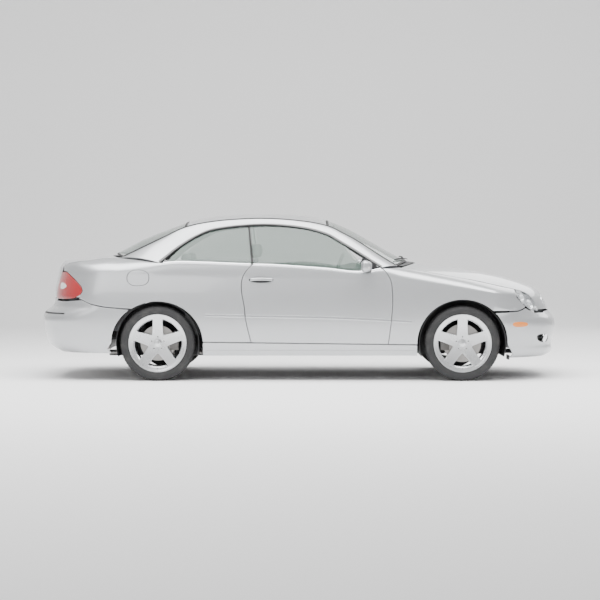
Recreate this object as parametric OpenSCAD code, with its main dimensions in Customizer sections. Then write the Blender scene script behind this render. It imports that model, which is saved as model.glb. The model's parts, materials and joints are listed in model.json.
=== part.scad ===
// Two-door hardtop coupe: an assembly of separate body panels, doors, lids, glass,
// running gear and cabin parts. +X is forward, +Y is the car's left, +Z is up, and
// the origin is on the ground under the middle of the car.
// Curves are drawn on a car with the proportions in the Reference section, and
// px(), py() and pz() carry them to the sizes that are set here.

/* [Overall] */
// Distance between the front and rear axles
wheelbase = 2663.5; // [2350:0.5:3200]
// Nose ahead of the front axle
front_overhang = 896; // [760:1:1080]
// Tail behind the rear axle
rear_overhang = 1086.5; // [920:0.5:1310]
// Width over the door skins
body_w = 1740; // [1560:1:2000]
// Height of the roof above the ground
car_h = 1472; // [1300:1:1760]
// Height of the sill's underside above the ground
ground_gap = 215; // [190:1:240]

/* [Wheels] */
// Radius of the tyres
tyre_r = 330; // [300:1:345]
// Width of a front tyre
front_tyre_w = 225; // [195:1:235]
// Width of a rear tyre
rear_tyre_w = 245; // [205:1:255]
// Distance between the middles of the front tyres
front_track = 1493; // [1450:1:1500]
// Distance between the middles of the rear tyres
rear_track = 1474; // [1430:1:1480]
// Radius of the rim's outer flange
flange_r = 254; // [235:1:260]
// Radius of the wheel bolt circle
bolt_circle_r = 56; // [50:0.5:60]
// Radius of a wheel bolt's recess
bolt_hole_r = 9; // [6:0.5:11]
// Radius of a front brake disc
front_disc_r = 166; // [140:1:180]
// Radius of a rear brake disc
rear_disc_r = 155; // [130:1:175]
// Radius of the spindle that each wheel turns on
spindle_r = 18; // [14:0.5:24]

/* [Body] */
// Gap between panels that move and their neighbours
shut_gap = 6; // [5:0.5:8]
// Gap between fixed pieces that meet
seat_gap = 0.3; // [0.2:0.05:0.6]
// Thickness of fenders, bumpers and outer skins
skin_t = 22; // [16:1:30]
// Thickness of a door
door_t = 110; // [90:1:130]
// Thickness of the hood and the trunk lid
lid_t = 20; // [14:1:26]
// Thickness of the roof with its lining
roof_t = 30; // [20:1:40]
// Thickness of the glass
glass_t = 5; // [4:0.5:6]
// Thickness of floors and bulkheads
floor_t = 22; // [16:1:28]

/* [Cabin] */
// Distance of each front seat's middle from the centreline
seat_y = 370; // [340:1:390]
// Width of a front seat
seat_w = 500; // [440:1:520]
// Radius of the steering wheel
steering_r = 188; // [165:1:200]
// Radius of the steering wheel's rim section
steering_tube_r = 15; // [11:0.5:18]

/* [Openings] */
// Clearance between a tyre and the front edge of its arch
arch_gap_x = 62; // [55:1:75]
// Clearance between a front tyre and the top of its arch
front_arch_gap_z = 50; // [42:1:60]
// Clearance between a rear tyre and the top of its arch
rear_arch_gap_z = 34; // [28:1:48]
// Height of the fuel flap
flap_h = 135; // [110:1:150]
// Length of the fuel flap
flap_l = 189; // [160:1:200]

/* [Hidden] */

// Reference proportions that the curves below are drawn in
ref_front = 896;
ref_rear = 1086.5;
ref_base = 2663.5;
ref_w = 1740;
ref_h = 1472;
ref_gap = 215;
ref_axle_f = 1427;
ref_axle_r = -1236.5;

car_l = wheelbase + front_overhang + rear_overhang;
axle_f = car_l / 2 - front_overhang;
axle_r = axle_f - wheelbase;
axle_z = tyre_r;

function px(x) = x >= ref_axle_f ? axle_f + (x - ref_axle_f) * front_overhang / ref_front
  : x <= ref_axle_r ? axle_r + (x - ref_axle_r) * rear_overhang / ref_rear
  : axle_r + (x - ref_axle_r) * wheelbase / ref_base;
function py(y) = y * body_w / ref_w;
function pz(z) = z < ref_gap ? z * ground_gap / ref_gap
  : ground_gap + (z - ref_gap) * (car_h - ground_gap) / (ref_h - ref_gap);
function place(p) = [px(p[0]), py(p[1]), pz(p[2])];

// A smooth curve through the rows of a list, read at a key: column 0 is the key
function span_of(list, key, i = 0) =
  (i >= len(list) - 2 || key < list[i + 1][0]) ? i : span_of(list, key, i + 1);
function slope_at(list, i, k) =
  let(a = max(0, i - 1), b = min(len(list) - 1, i + 1))
  (list[b][k] - list[a][k]) / (list[b][0] - list[a][0]);
function along(list, key, k = 1) =
  let(i = span_of(list, key), h = list[i + 1][0] - list[i][0],
      t = max(0, min(1, (key - list[i][0]) / h)),
      m = slope_at(list, i, k) * h, n = slope_at(list, i + 1, k) * h)
  list[i][k] * (1 + 2 * t) * (1 - t) ^ 2 + m * t * (1 - t) ^ 2
  + list[i + 1][k] * t * t * (3 - 2 * t) - n * t * t * (1 - t);
function mix(a, b, t) = a + (b - a) * t;
function steps(n) = [for (i = [0 : n]) i / n];

// Side view curves: position along the car and height
top_line = [[-1690, 1102], [-1465, 1227], [-1240, 1320], [-1005, 1404], [-808, 1445],
  [-600, 1466], [-338, 1472], [-100, 1471], [20, 1463], [130, 1445], [241, 1417], [427, 1345],
  [613, 1245], [799, 1137], [985, 1040]];
nose_line = [[185, 2211], [218, 2286], [256, 2300], [312, 2296], [406, 2318], [509, 2323],
  [579, 2284], [640, 2262], [708, 2229], [850, 2190]];
tail_line = [[229, -2150], [274, -2234], [313, -2273], [381, -2297], [477, -2313], [540, -2323],
  [577, -2318], [603, -2302], [635, -2259], [682, -2236], [754, -2240], [880, -2215], [993, -2189],
  [1030, -2180]];
door_rear_line = [[338, -420], [478, -454], [561, -470], [655, -479], [763, -500], [846, -504],
  [913, -491], [963, -462], [1012, -413], [1050, -380]];
door_front_line = [[310, 777], [420, 792], [535, 805], [664, 816], [788, 814], [872, 802],
  [942, 765], [986, 723], [1030, 690]];
// Top edge of the body side: position, half width and height
side_top = [[-2110, 430, 1008], [-2067, 500, 1022], [-1968, 590, 1043], [-1858, 604, 1056],
  [-1700, 606, 1077], [-1586, 600, 1077], [-1400, 702, 1058], [-1220, 786, 1034],
  [-1036, 797, 1042], [-454, 803, 1021], [-204, 804, 1013], [269, 808, 979], [464, 811, 956],
  [600, 808, 960], [723, 795, 984], [816, 752, 990], [902, 694, 992], [1245, 682, 933],
  [1516, 666, 884], [1786, 636, 825], [1932, 590, 793], [2010, 540, 770]];
// Height of the shoulder that the body side turns in from
shoulder = [[-2110, 975], [-2067, 962], [-1900, 938], [-1236, 935], [-400, 925], [681, 913],
  [1097, 859], [1500, 800], [1900, 735], [2010, 700]];
sill_top = [[-900, 341], [-841, 340], [1026, 317], [1100, 316]];

// Half width of the body with height, before the ends are rounded
max_half = 870;
belly_z = 560;
function flank(z) = z > belly_z ? max_half - 70 * ((z - belly_z) / 460) ^ 2.2
  : max_half - 55 * ((belly_z - z) / 345) ^ 2;
// How square the ends are in plan, from bumper height to lamp height
function ends(z, low, high) = mix(low, high, max(0, min(1, (z - 540) / 100)));
function nose_n(z) = ends(z, 2.6, 1.6);
function nose_d(z) = ends(z, 850, 524);
function tail_n(z) = ends(z, 3, 2.2);
function tail_d(z) = ends(z, 600, 560);
function rounding(d, depth, n) = d >= depth ? 1 : d <= 0 ? 0 : (1 - (1 - d / depth) ^ n) ^ (1 / n);
function side_y(x, z) = flank(z)
  * rounding(along(nose_line, z) - x, nose_d(z), nose_n(z))
  * rounding(x - along(tail_line, z), tail_d(z), tail_n(z));
// A point of an end shell at plan angle a, from -90 to 90 degrees, and height z
function nose_point(a, z) = [along(nose_line, z) - nose_d(z) * (1 - cos(a) ^ (2 / nose_n(z))),
  sign(a) * flank(z) * abs(sin(a)) ^ (2 / nose_n(z)), z];
// Past 90 degrees the shell runs straight on along the side
function tail_point(a, z) =
  let(c = max(0, cos(a)), s = abs(a) > 90 ? 1 : abs(sin(a)))
  [along(tail_line, z) + tail_d(z) * (1 - c ^ (2 / tail_n(z))) + 36 * max(0, abs(a) - 90),
   sign(a) * flank(z) * s ^ (2 / tail_n(z)), z];

// A point of the body side: v runs 0 to 1 up to the shoulder, then 1 to 2 over it
function side_point(x, low, v) =
  let(zs = along(shoulder, x), ys = side_y(x, zs), yt = min(along(side_top, x), ys - 4),
      zt = along(side_top, x, 2), t = max(0, v - 1))
  v <= 1 ? let(z = mix(low, zs, v)) [x, side_y(x, z), z]
  : let(ym = ys - 0.08 * (ys - yt), zm = zt - 0.15 * (ys - yt))
    [x, ys * (1 - t) ^ 2 + 2 * ym * t * (1 - t) + yt * t * t,
     zs * (1 - t) ^ 2 + 2 * max(zm, zs) * t * (1 - t) + zt * t * t];

// Stations of the upper frame: edge of the roof and glass, then top of the side windows
frame_edge = [[0, 862, 700, 1005], [1, 727, 660, 1086], [2, 548, 610, 1205], [3, 400, 582, 1288],
  [4, 243, 562, 1361], [5, 2, 560, 1404], [6, -338, 565, 1425], [7, -720, 562, 1404],
  [8, -1000, 560, 1352], [9, -1200, 566, 1262], [10, -1400, 578, 1166], [11, -1586, 595, 1077]];
window_edge = [[0, 724, 785, 993], [1, 600, 748, 1070], [2, 470, 706, 1152], [3, 352, 668, 1222],
  [4, 230, 640, 1288], [5, 0, 618, 1345], [6, -337, 610, 1365], [7, -717, 622, 1331],
  [8, -887, 645, 1272], [9, -1056, 692, 1170], [10, -1160, 740, 1085], [11, -1221, 784, 1033]];
centre_x = [[0, 985], [4, 241], [6, -338], [8, -1005], [11, -1690]];
function frame_point(s) = [for (k = [1 : 3]) along(frame_edge, s, k)];
function window_point(s) = [for (k = [1 : 3]) along(window_edge, s, k)];
function top_point(s, v) =
  let(e = frame_point(s), xc = along(centre_x, s), zc = along(top_line, xc), c = 1 - v * v)
  [mix(e[0], xc, c), v * e[1], mix(e[2], zc, c)];
// Height and half width of the side windows' top edge over a position along the car
window_top = [for (i = [11 : -1 : 0])
  [window_edge[i][1], window_edge[i][2], window_edge[i][3]]];

// Direction from a skin to its inner face, the same at each place for all the panels
function inward(p) =
  let(q = [max(px(-1500), min(px(1650), p[0])), 0, pz(550)], v = q - p) v / norm(v);

// Closed sheet between an outer and an inner grid of points with the same rows and columns
module sheet(outer, inner) {
  m = len(outer);
  n = len(outer[0]);
  k = m * n;
  rim = concat([for (j = [0 : n - 1]) j], [for (i = [1 : m - 1]) i * n + n - 1],
    [for (j = [n - 2 : -1 : 0]) (m - 1) * n + j], [for (i = [m - 2 : -1 : 1]) i * n]);
  front = [for (i = [0 : m - 2], j = [0 : n - 2], f = [0, 1])
    let(a = i * n + j) f == 0 ? [a, a + 1, a + n + 1] : [a, a + n + 1, a + n]];
  back = [for (f = front) [f[0] + k, f[2] + k, f[1] + k]];
  walls = [for (i = [0 : len(rim) - 1], f = [0, 1])
    let(a = rim[i], b = rim[(i + 1) % len(rim)]) f == 0 ? [b, a, a + k] : [b, a + k, b + k]];
  i0 = floor(m / 2) - 1;
  j0 = floor(n / 2) - 1;
  across = cross(outer[i0][j0 + 1] - outer[i0][j0], outer[i0 + 1][j0] - outer[i0][j0]);
  faces = concat(front, back, walls);
  turned = across * (outer[i0][j0] - inner[i0][j0]) > 0;
  polyhedron([for (g = [outer, inner], r = g, p = r) p],
    turned ? [for (f = faces) [f[0], f[2], f[1]]] : faces);
}
// Sheet of thickness t under a grid that is drawn in the reference proportions
module skin(grid, t) {
  outer = [for (r = grid) [for (p = r) place(p)]];
  sheet(outer, [for (r = outer) [for (p = r) p + t * inward(p)]]);
}
// The same with the inner face moved straight in across the car
module wall(grid, t, side = 1) {
  outer = [for (r = grid) [for (p = r) place(p)]];
  sheet(outer, [for (r = outer) [for (p = r) p - [0, side * t, 0]]]);
}
// Solid of one outline in the side view, across the car from y0 to y1
module across(y0, y1) {
  translate([0, y1, 0]) rotate([90, 0, 0]) linear_extrude(height = y1 - y0) children();
}
module outline(points, grow = 0) {
  offset(delta = grow) polygon([for (p = points) [px(p[0]), pz(p[1])]]);
}
module mirrored(side) {
  if (side > 0) children();
  else mirror([0, 1, 0]) children();
}
module both() {
  for (side = [1, -1]) mirrored(side) children();
}

// ---- Body panels ----
side_x = concat([-2110, -2067, -2010, -1930, -1850], [for (x = [-1745 : 115 : 1705]) x],
  [1790, 1860, 1920, 1975, 2030, 2080, 2118]);
side_rows = [0, 0.2, 0.4, 0.58, 0.74, 0.88, 1, 1.25, 1.5, 1.75, 2];
side_grid = [for (v = side_rows) [for (x = side_x) side_point(x, ref_gap, v)]];
lamp_line = [[1901, 796], [1909, 734], [1952, 690], [1998, 645], [2069, 601], [2083, 613],
  [2118, 596], [2124, 640], [2100, 668], [2078, 707], [2024, 760], [1994, 750], [1954, 787]];
tail_lamp_line = [[-2400, 951], [-2067, 951], [-2020, 918], [-1973, 883], [-1910, 823],
  [-1899, 785], [-1923, 747], [-1982, 717], [-2134, 702], [-2400, 700]];
rear_seam = [[-1400, 629], [-1493, 629], [-1672, 643], [-1822, 671], [-1905, 708], [-1982, 702],
  [-2134, 690], [-2400, 688]];
front_seam = [[1600, 610], [1918, 610], [1990, 637], [1998, 639], [2069, 596], [2118, 590],
  [2400, 606]];
door_z = [for (t = steps(12)) mix(338, 1050, t)];
door_edge_rear = [for (z = door_z) [along(door_rear_line, z), z]];
door_edge_front = [for (i = [12 : -1 : 0]) let(z = door_z[i]) [along(door_front_line, z), z]];
low_side = 140;
high_side = 1150;

module arch(x, gap_z, grow = 0) {
  translate([x, axle_z]) {
    scale([tyre_r + arch_gap_x + grow, tyre_r + gap_z + grow]) circle(r = 1, $fn = 64);
    translate([-tyre_r - arch_gap_x - grow, -tyre_r]) square([2 * (tyre_r + arch_gap_x + grow), tyre_r]);
  }
}
module front_arch(grow = 0) { arch(axle_f, front_arch_gap_z, grow); }
module rear_arch(grow = 0) { arch(axle_r, rear_arch_gap_z, grow); }
module door_shape(grow = 0) {
  outline(concat(door_edge_rear, door_edge_front, [for (x = [778, 200, -420]) [x, along(sill_top, x)]]), grow);
}
module quarter_shape(inset = 0) {
  difference() {
    outline(concat([for (p = door_edge_rear) [p[0] - inset, p[1]]],
      [[-420, high_side], [-2400, high_side], [-2400, 338], [-841, 340]]));
    door_shape(shut_gap / 2 + inset);
    rear_arch();
    outline(rear_seam_area, seat_gap);
    outline(tail_lamp_line, seat_gap);
  }
}
rear_seam_area = concat(rear_seam, [[-2400, low_side], [-1400, low_side]]);
front_seam_area = concat(front_seam, [[2400, low_side], [1600, low_side]]);
module fender_shape() {
  difference() {
    outline(concat(door_edge_front, [[778, 321], [1026, 317], [1100, 317], [1500, 560],
      [2010, 560], [2010, 645], [1900, 900], [1900, high_side], [690, high_side]]));
    door_shape(shut_gap / 2);
    front_arch();
    outline(front_seam_area, seat_gap);
    outline(lamp_line, seat_gap);
  }
}
module side_piece(side, depth) {
  mirrored(side) intersection() {
    skin(side_grid, depth);
    across(0, 3 * max_half) children();
  }
}
module side_block(side, depth, under = 0) {
  mirrored(side) intersection() {
    translate([0, -under, 0]) wall(side_grid, depth - under);
    across(0, 3 * max_half) children();
  }
}

frame_t = 34;
post_t = 165;
// Strip from the windshield and roof edge down to the side windows
module upper_frame() {
  rows = [for (s = steps(33)) let(e = frame_point(s * 11), w = window_point(s * 11))
    [for (t = [0, 0.5, 1]) let(p = mix(e, w, t), bulge = 4 * t * (1 - t) * norm(e - w) * 0.07)
      p + bulge * [0, 0.7, 0.7]]];
  // The pillar's foot runs down inside the quarter panel
  last = len(rows) - 1;
  skin(concat([for (i = [0 : last - 1]) rows[i]], [for (d = [[7, -6, -7], [14, -26, -44]])
    [for (p = rows[last]) p + d]]), frame_t);
}
module body_side(side) {
  color("silver") resize([0, 0, 0]) difference() {
    union() {
      side_piece(side, skin_t) quarter_shape();
      side_block(side, door_t, 6) offset(delta = -3) intersection() {
        quarter_shape(22);
        outline([[-1980, 420], [-400, 338], [-380, high_side], [-1590, high_side], [-1600, 1005], [-1980, 900]]);
      }
      mirrored(side) upper_frame();
      side_block(side, post_t, 6) difference() {
        outline([[740, 322], [905, 319], [905, 1000], [740, 1000]]);
        door_shape(shut_gap / 2);
      }
      mirrored(side) across(py(660), py(705))
        outline([[828, 890], [900, 890], [900, 984], [858, 998], [800, 1012], [760, 1010]]);
    }
    // The outer fender covers the front post
    mirrored(side) intersection() {
      skin(side_grid, skin_t + seat_gap);
      across(0, 3 * max_half) outline([[700, 300], [1100, 300], [1100, high_side], [700, high_side]]);
    }
    if (side < 0) fuel_recess();
    intersection() {
      lid_clearance();
      translate([-2300, -700, 940]) cube([290, 1400, 200]);
    }
  }
}
module body_side_left() { body_side(1); }
module body_side_right() { body_side(-1); }

module fender(side) {
  color("silver") resize([0, 0, 0]) side_piece(side, skin_t) fender_shape();
}
module fender_left() { fender(1); }
module fender_right() { fender(-1); }

module side_sills() {
  color("silver") for (side = [1, -1]) resize([0, 0, 0]) side_block(side, 90) difference() {
    outline([[-900, 150], [1100, 150], [1100, 316.5], [1026, 316.5], [-841, 339.5], [-900, 340.5]]);
    front_arch();
    rear_arch();
  }
}

shell_t = 26;
// Bumper shells: heights from the bottom up, and plan angles from right to left
module bumper_grid(front, z_low, z_high) {
  reach = front ? 84 : 98;
  angles = [for (i = [-13 : 13]) reach * sign(i) * (abs(i) / 13) ^ 0.9];
  skin([for (t = steps(12)) let(z = mix(z_low, z_high, t))
    [for (a = angles) front ? nose_point(a, z) : tail_point(a, z)]], shell_t);
}
module front_bumper() {
  color("silver") resize([0, 0, 0]) intersection() {
    difference() {
      bumper_grid(true, 190, 640);
      for (side = [1, -1]) mirrored(side) across(py(380), py(700))
         outline([[2030, 318], [2160, 310], [2400, 315], [2400, 405], [2170, 409], [2060, 400]]);
      across(-py(330), py(330)) outline([[2000, 250], [2400, 250], [2400, 420], [2000, 420]]);
    }
    across(-3 * max_half, 3 * max_half) difference() {
      outline(front_seam_area);
      front_arch();
    }
  }
}
module rear_bumper() {
  color("silver") resize([0, 0, 0]) intersection() {
    bumper_grid(false, 235, 688);
    across(-3 * max_half, 3 * max_half) difference() {
      outline(rear_seam_area);
      rear_arch();
    }
  }
}

// Hood: rows from the rear edge to the bottom of the nose, edge point then centre point
hood_rows = [[0, 905, 690, 991, 1062, 1030], [1, 1000, 688, 976, 1130, 1019],
  [2, 1130, 684, 953, 1230, 1008], [3, 1350, 676, 913, 1400, 984], [4, 1560, 663, 876, 1580, 955],
  [5, 1760, 640, 831, 1770, 920], [6, 1900, 600, 800, 1930, 880], [7, 1975, 560, 781, 2050, 842],
  [8, 2040, 530, 748, 2140, 803], [9, 2085, 502, 700, 2205, 745], [10, 2110, 480, 655, 2245, 680],
  [11, 2125, 462, 612, 2272, 612]];
function hood_point(s, v) =
  let(r = [for (k = [1 : 5]) along(hood_rows, s, k)], c = 1 - v * v)
  [mix(r[0], r[3], c), v * (r[1] - shut_gap), mix(r[2], r[4], c)];
hood_across = [for (i = [-6 : 6]) i / 6];
hood_grid = [for (s = steps(22)) [for (v = hood_across) hood_point(s * 11, v)]];
// Everything from a lid's underside upwards, for what stands under it
module above_lid(grid) {
  for (z = [0, 14, 28]) translate([0, 0, z]) skin(grid, lid_t + (z > 0 ? 0 : 3 * seat_gap));
}
module hood() {
  color("silver") resize([0, 0, 0]) difference() {
    skin(hood_grid, lid_t);
    for (side = [1, -1]) mirrored(side) across(py(300), py(800)) outline(lamp_line, shut_gap);
    translate([px(1990), 0, 0]) rotate([90, 0, 90]) linear_extrude(height = 500)
      polygon([for (p = [[-300, 742], [300, 742], [255, 622], [-255, 622]]) [py(p[0]), pz(p[1])]]);
  }
}
// Slats in the nose opening, tied by two upright bars behind them
slat_t = 30;
function slat_end(s) = let(p = hood_point(s, 0.58)) (255 + (p[2] - 622) * 0.375 - 0.6) / (hood_point(s, 1)[1]);
module grille() {
  color("dimgray") resize([0, 0, 0]) union() {
    for (s = [9.28, 9.72, 10.16, 10.6]) skin([for (t = [s, s + 0.14])
      [for (v = hood_across) hood_point(t, v * slat_end(s + 0.14))]], slat_t);
    for (side = [1, -1]) translate([-8, 0, 0]) skin([for (s = steps(4))
      [for (v = [0.44, 0.49]) hood_point(9.3 + s * 1.4, side * v)]], slat_t - 12);
  }
}

lid_rows = [[0, -1604, 598, 1077, -1708, 1098], [1, -1730, 602, 1074, -1790, 1088],
  [2, -1858, 602, 1056, -1870, 1077], [3, -1968, 588, 1043, -1985, 1064],
  [4, -2050, 525, 1027, -2090, 1051], [5, -2105, 450, 1009, -2148, 1045], [6, -2124, 440, 965, -2190, 995],
  [7, -2144, 440, 885, -2215, 885], [8, -2160, 440, 800, -2236, 790], [9, -2163, 440, 722, -2236, 722]];
function lid_point(s, v) =
  let(r = [for (k = [1 : 5]) along(lid_rows, s, k)], c = 1 - v * v)
  [mix(r[0], r[3], c), v * (r[1] - shut_gap), mix(r[2], r[4], c)];
lid_grid = [for (s = steps(18)) [for (v = hood_across) lid_point(s * 9, v)]];
module trunk_lid() {
  color("silver") skin(lid_grid, lid_t);
}
module lid_clearance() {
  skin([for (r = lid_grid) [for (p = r) p + [-6, sign(p[1]) * 8, 6]]], lid_t + 16);
}

lamp_t = 60;
module headlamps() {
  color("lightblue") for (side = [1, -1]) resize([0, 0, 0]) difference() {
    side_piece(side, lamp_t) outline(lamp_line, -seat_gap);
    hood_clearance();
  }
}
module hood_clearance() {
  skin([for (r = hood_grid) [for (p = r) p + [0, sign(p[1]) * 4, 4]]], lid_t + 10);
}
module tail_lamps() {
  color("red") for (side = [1, -1]) resize([0, 0, 0]) mirrored(side) intersection() {
    skin([for (t = steps(8)) let(z = mix(700, 953, t))
      [for (a = [20 : 5 : 85]) tail_point(a, z)]], 50);
    across(py(440), 3 * max_half) outline(tail_lamp_line, -seat_gap);
  }
}

// ---- Glass and roof ----
glass_gap = 0.004;
glass_reach = 0.998;
module top_sheet(s0, s1, n, t, reach) {
  skin([for (i = steps(n)) [for (v = hood_across) top_point(mix(s0, s1, i), v * reach)]], t);
}
module windshield() { color("darkseagreen", 0.5) top_sheet(0, 4 - glass_gap, 10, glass_t, glass_reach); }
module roof_panel() { color("silver") top_sheet(4 + glass_gap, 8 - glass_gap, 12, roof_t, glass_reach); }
module rear_window() { color("darkseagreen", 0.5) top_sheet(8 + glass_gap / 4, 10.94, 9, glass_t, 0.993); }
glass_inset = 16;
function glass_point(x, v) =
  let(zb = along(side_top, x, 2) + 2.1, yb = along(side_top, x) - glass_inset,
      zt = along(window_top, x, 2) - 12, yt = along(window_top, x) - 2)
  [x, mix(yb, yt, v) + 14 * v * (1 - v), mix(zb, max(zt, zb + 4), v)];
module side_glass(side, x0, x1, lean0, lean1, n) {
  mirrored(side) wall([for (v = steps(5)) [for (u = steps(n))
    glass_point(mix(x0, x1, u) + v * mix(lean0, lean1, u), v)]], glass_t);
}
glass_split = -407;
glass_lean = -39;
module quarter_glass() {
  color("darkseagreen", 0.5) both() side_glass(1, -1190, glass_split - 5, 20, glass_lean, 8);
}
module door_glass(side) {
  color("darkseagreen", 0.5) side_glass(side, glass_split + 5, 576, glass_lean, 0, 12);
}
module door_glass_left() { door_glass(1); }
module door_glass_right() { door_glass(-1); }

// ---- Doors ----
door_skin = 24;
module door(side) {
  color("silver") resize([0, 0, 0]) difference() {
    union() {
      side_block(side, door_t) door_shape(-shut_gap / 2);
      // Hinge leaves reach the front post
      side_block(side, 88, 46) intersection() {
        door_shape(shut_gap / 2 - seat_gap - 0.2);
        outline([for (p = [[700, 440], [900, 440], [900, 500], [700, 500]]) p]);
      }
      side_block(side, 88, 46) intersection() {
        door_shape(shut_gap / 2 - seat_gap - 0.2);
        outline([[700, 800], [900, 800], [900, 860], [700, 860]]);
      }
    }
    // The windshield pillar's foot stands over the front corner
    mirrored(side) across(py(690), py(776)) outline([[700, 968], [748, 968], [748, 1010], [700, 1010]]);
    // The rear edge is cut back on the inside, so that it swings clear of the post
    mirrored(side) translate([0, -door_skin, 0]) intersection() {
      wall(side_grid, door_t);
      across(0, 3 * max_half) outline(concat([for (p = door_edge_rear) [p[0] - 40, p[1]]],
        [for (i = [len(door_edge_rear) - 1 : -1 : 0]) [door_edge_rear[i][0] + 20, door_edge_rear[i][1]]]));
    }
  }
}
module door_left() { door(1); }
module door_right() { door(-1); }
module mirror_unit(side) {
  color("silver") resize([0, 0, 0]) mirrored(side) difference() {
    union() {
      hull() for (p = [[-40, 0, 0], [34, 8, -4]], q = [-1, 1])
        translate([px(572) + p[0], max_mirror_y - 62 + p[1] + 27 * q, pz(1002) + p[2]])
          scale([0.9, 1, 1.35]) sphere(r = 44, $fn = 20);
      translate([px(586), py(790), pz(925)]) rotate([-58, 0, 0]) cylinder(r = 17, h = 110, $fn = 24);
    }
    translate([0, seat_gap + 0.4, 0]) wall(side_grid, door_t);
  }
}
max_mirror_y = 985;
module mirror_left() { mirror_unit(1); }
module mirror_right() { mirror_unit(-1); }

handle_z = 883;
module handle(side) {
  hy = py(flank(handle_z));
  color("silver") mirrored(side) {
    hull() for (x = [-422, -242]) translate([px(x), hy + 14, pz(handle_z)])
      rotate([-90, 0, 0]) cylinder(r = 15, h = 12, $fn = 24);
    for (x = [-412, -252]) translate([px(x), hy + 1.6, pz(handle_z)])
      rotate([-90, 0, 0]) cylinder(r = 9, h = 14, $fn = 24);
  }
}
module handle_left() { handle(1); }
module handle_right() { handle(-1); }

flap_front = -1314;
flap_z = 900;
flap_x = px(flap_front) - flap_l / 2;
flap_t = 6;
flap_pocket = 60;
module flap_outline(grow = 0) {
  translate([flap_x, pz(flap_z)]) offset(r = 34 + grow, $fn = 32) square([flap_l - 68, flap_h - 68], center = true);
}
module fuel_recess() {
  mirror([0, 1, 0]) intersection() {
    translate([0, 8, 0]) skin(side_grid, flap_pocket + 8);
    across(0, 3 * max_half) flap_outline(shut_gap);
  }
}
module fuel_flap() {
  color("silver") resize([0, 0, 0]) mirror([0, 1, 0]) intersection() {
    union() {
      skin(side_grid, flap_t);
      translate([flap_x + flap_l / 2 - 16, 0, pz(flap_z) - 20]) cube([30, 3 * max_half, 40]);
    }
    skin(side_grid, 34);
    across(0, 3 * max_half) union() {
      flap_outline();
      translate([flap_x + flap_l / 2 - 16, pz(flap_z) - 20]) square([16 + shut_gap - seat_gap - 0.2, 40]);
    }
  }
}

// ---- Structure ----
sill_in = 88;
function sill_y() = py(flank(ref_gap)) - sill_in;
floor_z = pz(240);
module plate(points, z, t) {
  translate([0, 0, z]) linear_extrude(height = t)
    polygon([for (p = points) [px(p[0]), py(p[1])]]);
}
module floor_pan() {
  color("gray") {
    difference() {
      plate([[-842, -715], [1020, -715], [1020, 715], [-842, 715]], floor_z, floor_t);
      translate([0, 0, floor_z - 1]) linear_extrude(height = floor_t + 2)
        for (side = [1, -1]) mirror([0, side < 0 ? 1 : 0]) polygon([[axle_f - tyre_r - arch_gap_x, 440],
          [axle_f, 440], [axle_f, 1000], [axle_f - tyre_r - arch_gap_x, 1000]]);
    }
    plate([[-2178, -560], [-840, -560], [-840, 560], [-2178, 560]], pz(345), floor_t);
    translate([px(-840) - floor_t, -560, floor_z]) cube([floor_t, 1120, pz(345) + floor_t - floor_z]);
  }
}
wing_y = 442;
rail_x = px(918) + floor_t + seat_gap;
module front_structure() {
  color("dimgray") {
    for (side = [1, -1]) mirror([0, side < 0 ? 1 : 0, 0]) {
      translate([rail_x, wing_y - 62, pz(400)]) cube([px(2120) - rail_x, 60, 95]);
      translate([rail_x, wing_y - 2, pz(400)]) cube([px(1880) - rail_x, 8, pz(742) - pz(400)]);
      linear_shelf();
    }
    translate([px(2080), -wing_y + 61, pz(330)]) cube([30, 2 * wing_y - 122, pz(690) - pz(330)]);
    plate([[952, -280], [2180, -280], [2180, 280], [952, 280]], pz(218) - 8 - seat_gap, 8);
  }
}
module linear_shelf() {
  translate([0, 0, pz(742) + seat_gap]) linear_extrude(height = 8) polygon([[px(950), wing_y - 2],
    [px(1700), wing_y - 2], [px(1880), wing_y - 2], [px(1880), py(600)], [px(1700), py(700)], [px(1430), py(790)],
    [px(950), py(790)]]);
}
module firewall() {
  color("dimgray") {
    translate([px(918), -py(655), floor_z + floor_t + seat_gap])
      cube([floor_t, 2 * py(655), pz(950) - floor_z - floor_t]);
    // Hinge brackets under the rear corners of the hood
    resize([0, 0, 0]) both() difference() {
      across(py(585), py(611))
        outline([[934, 880], [978, 880], [978, 1010], [958, 1010], [958, 948], [934, 948]]);
      above_lid(hood_grid);
    }
  }
}
module cowl() {
  color("black") skin([for (k = [0, 1]) [for (v = hood_across)
    let(p = top_point(0, v * 0.94)) p + [k == 0 ? 0.9 : 32 + 30 * (1 - v * v), 0, k == 0 ? -2 : -9]]], 14);
}
module liner(r_in, r_out, y_in, y_out) {
  difference() {
    rotate([-90, 0, 0]) translate([0, 0, y_in]) cylinder(r = r_out, h = y_out - y_in, $fn = 72);
    rotate([-90, 0, 0]) translate([0, 0, y_in + 4]) cylinder(r = r_in, h = y_out - y_in, $fn = 72);
    translate([-500, 0, -tyre_r - 50]) cube([1000, 1000, tyre_r + ground_gap - axle_z + 50]);
    translate([-130, 0, -tyre_r]) cube([260, y_in + 10, tyre_r + 190]);
  }
}
front_liner_r = tyre_r + front_arch_gap_z - 2 * seat_gap;
rear_liner_r = tyre_r + rear_arch_gap_z - 2 * seat_gap;
front_liner_y = wing_y + 6 + seat_gap;
rear_liner_y = rear_track / 2 - rear_tyre_w / 2 - 20;
module wheel_liners() {
  color("black") both() {
    translate([axle_f, 0, axle_z]) liner(front_liner_r - 5, front_liner_r, front_liner_y, py(852));
    translate([axle_r, 0, axle_z]) liner(rear_liner_r - 4, rear_liner_r, rear_liner_y, py(852));
  }
}
module engine_block() {
  color("darkgray") translate([px(1080), -240, beam_top + seat_gap]) cube([px(1700) - px(1080), 480, pz(800) - beam_top]);
}
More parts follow.
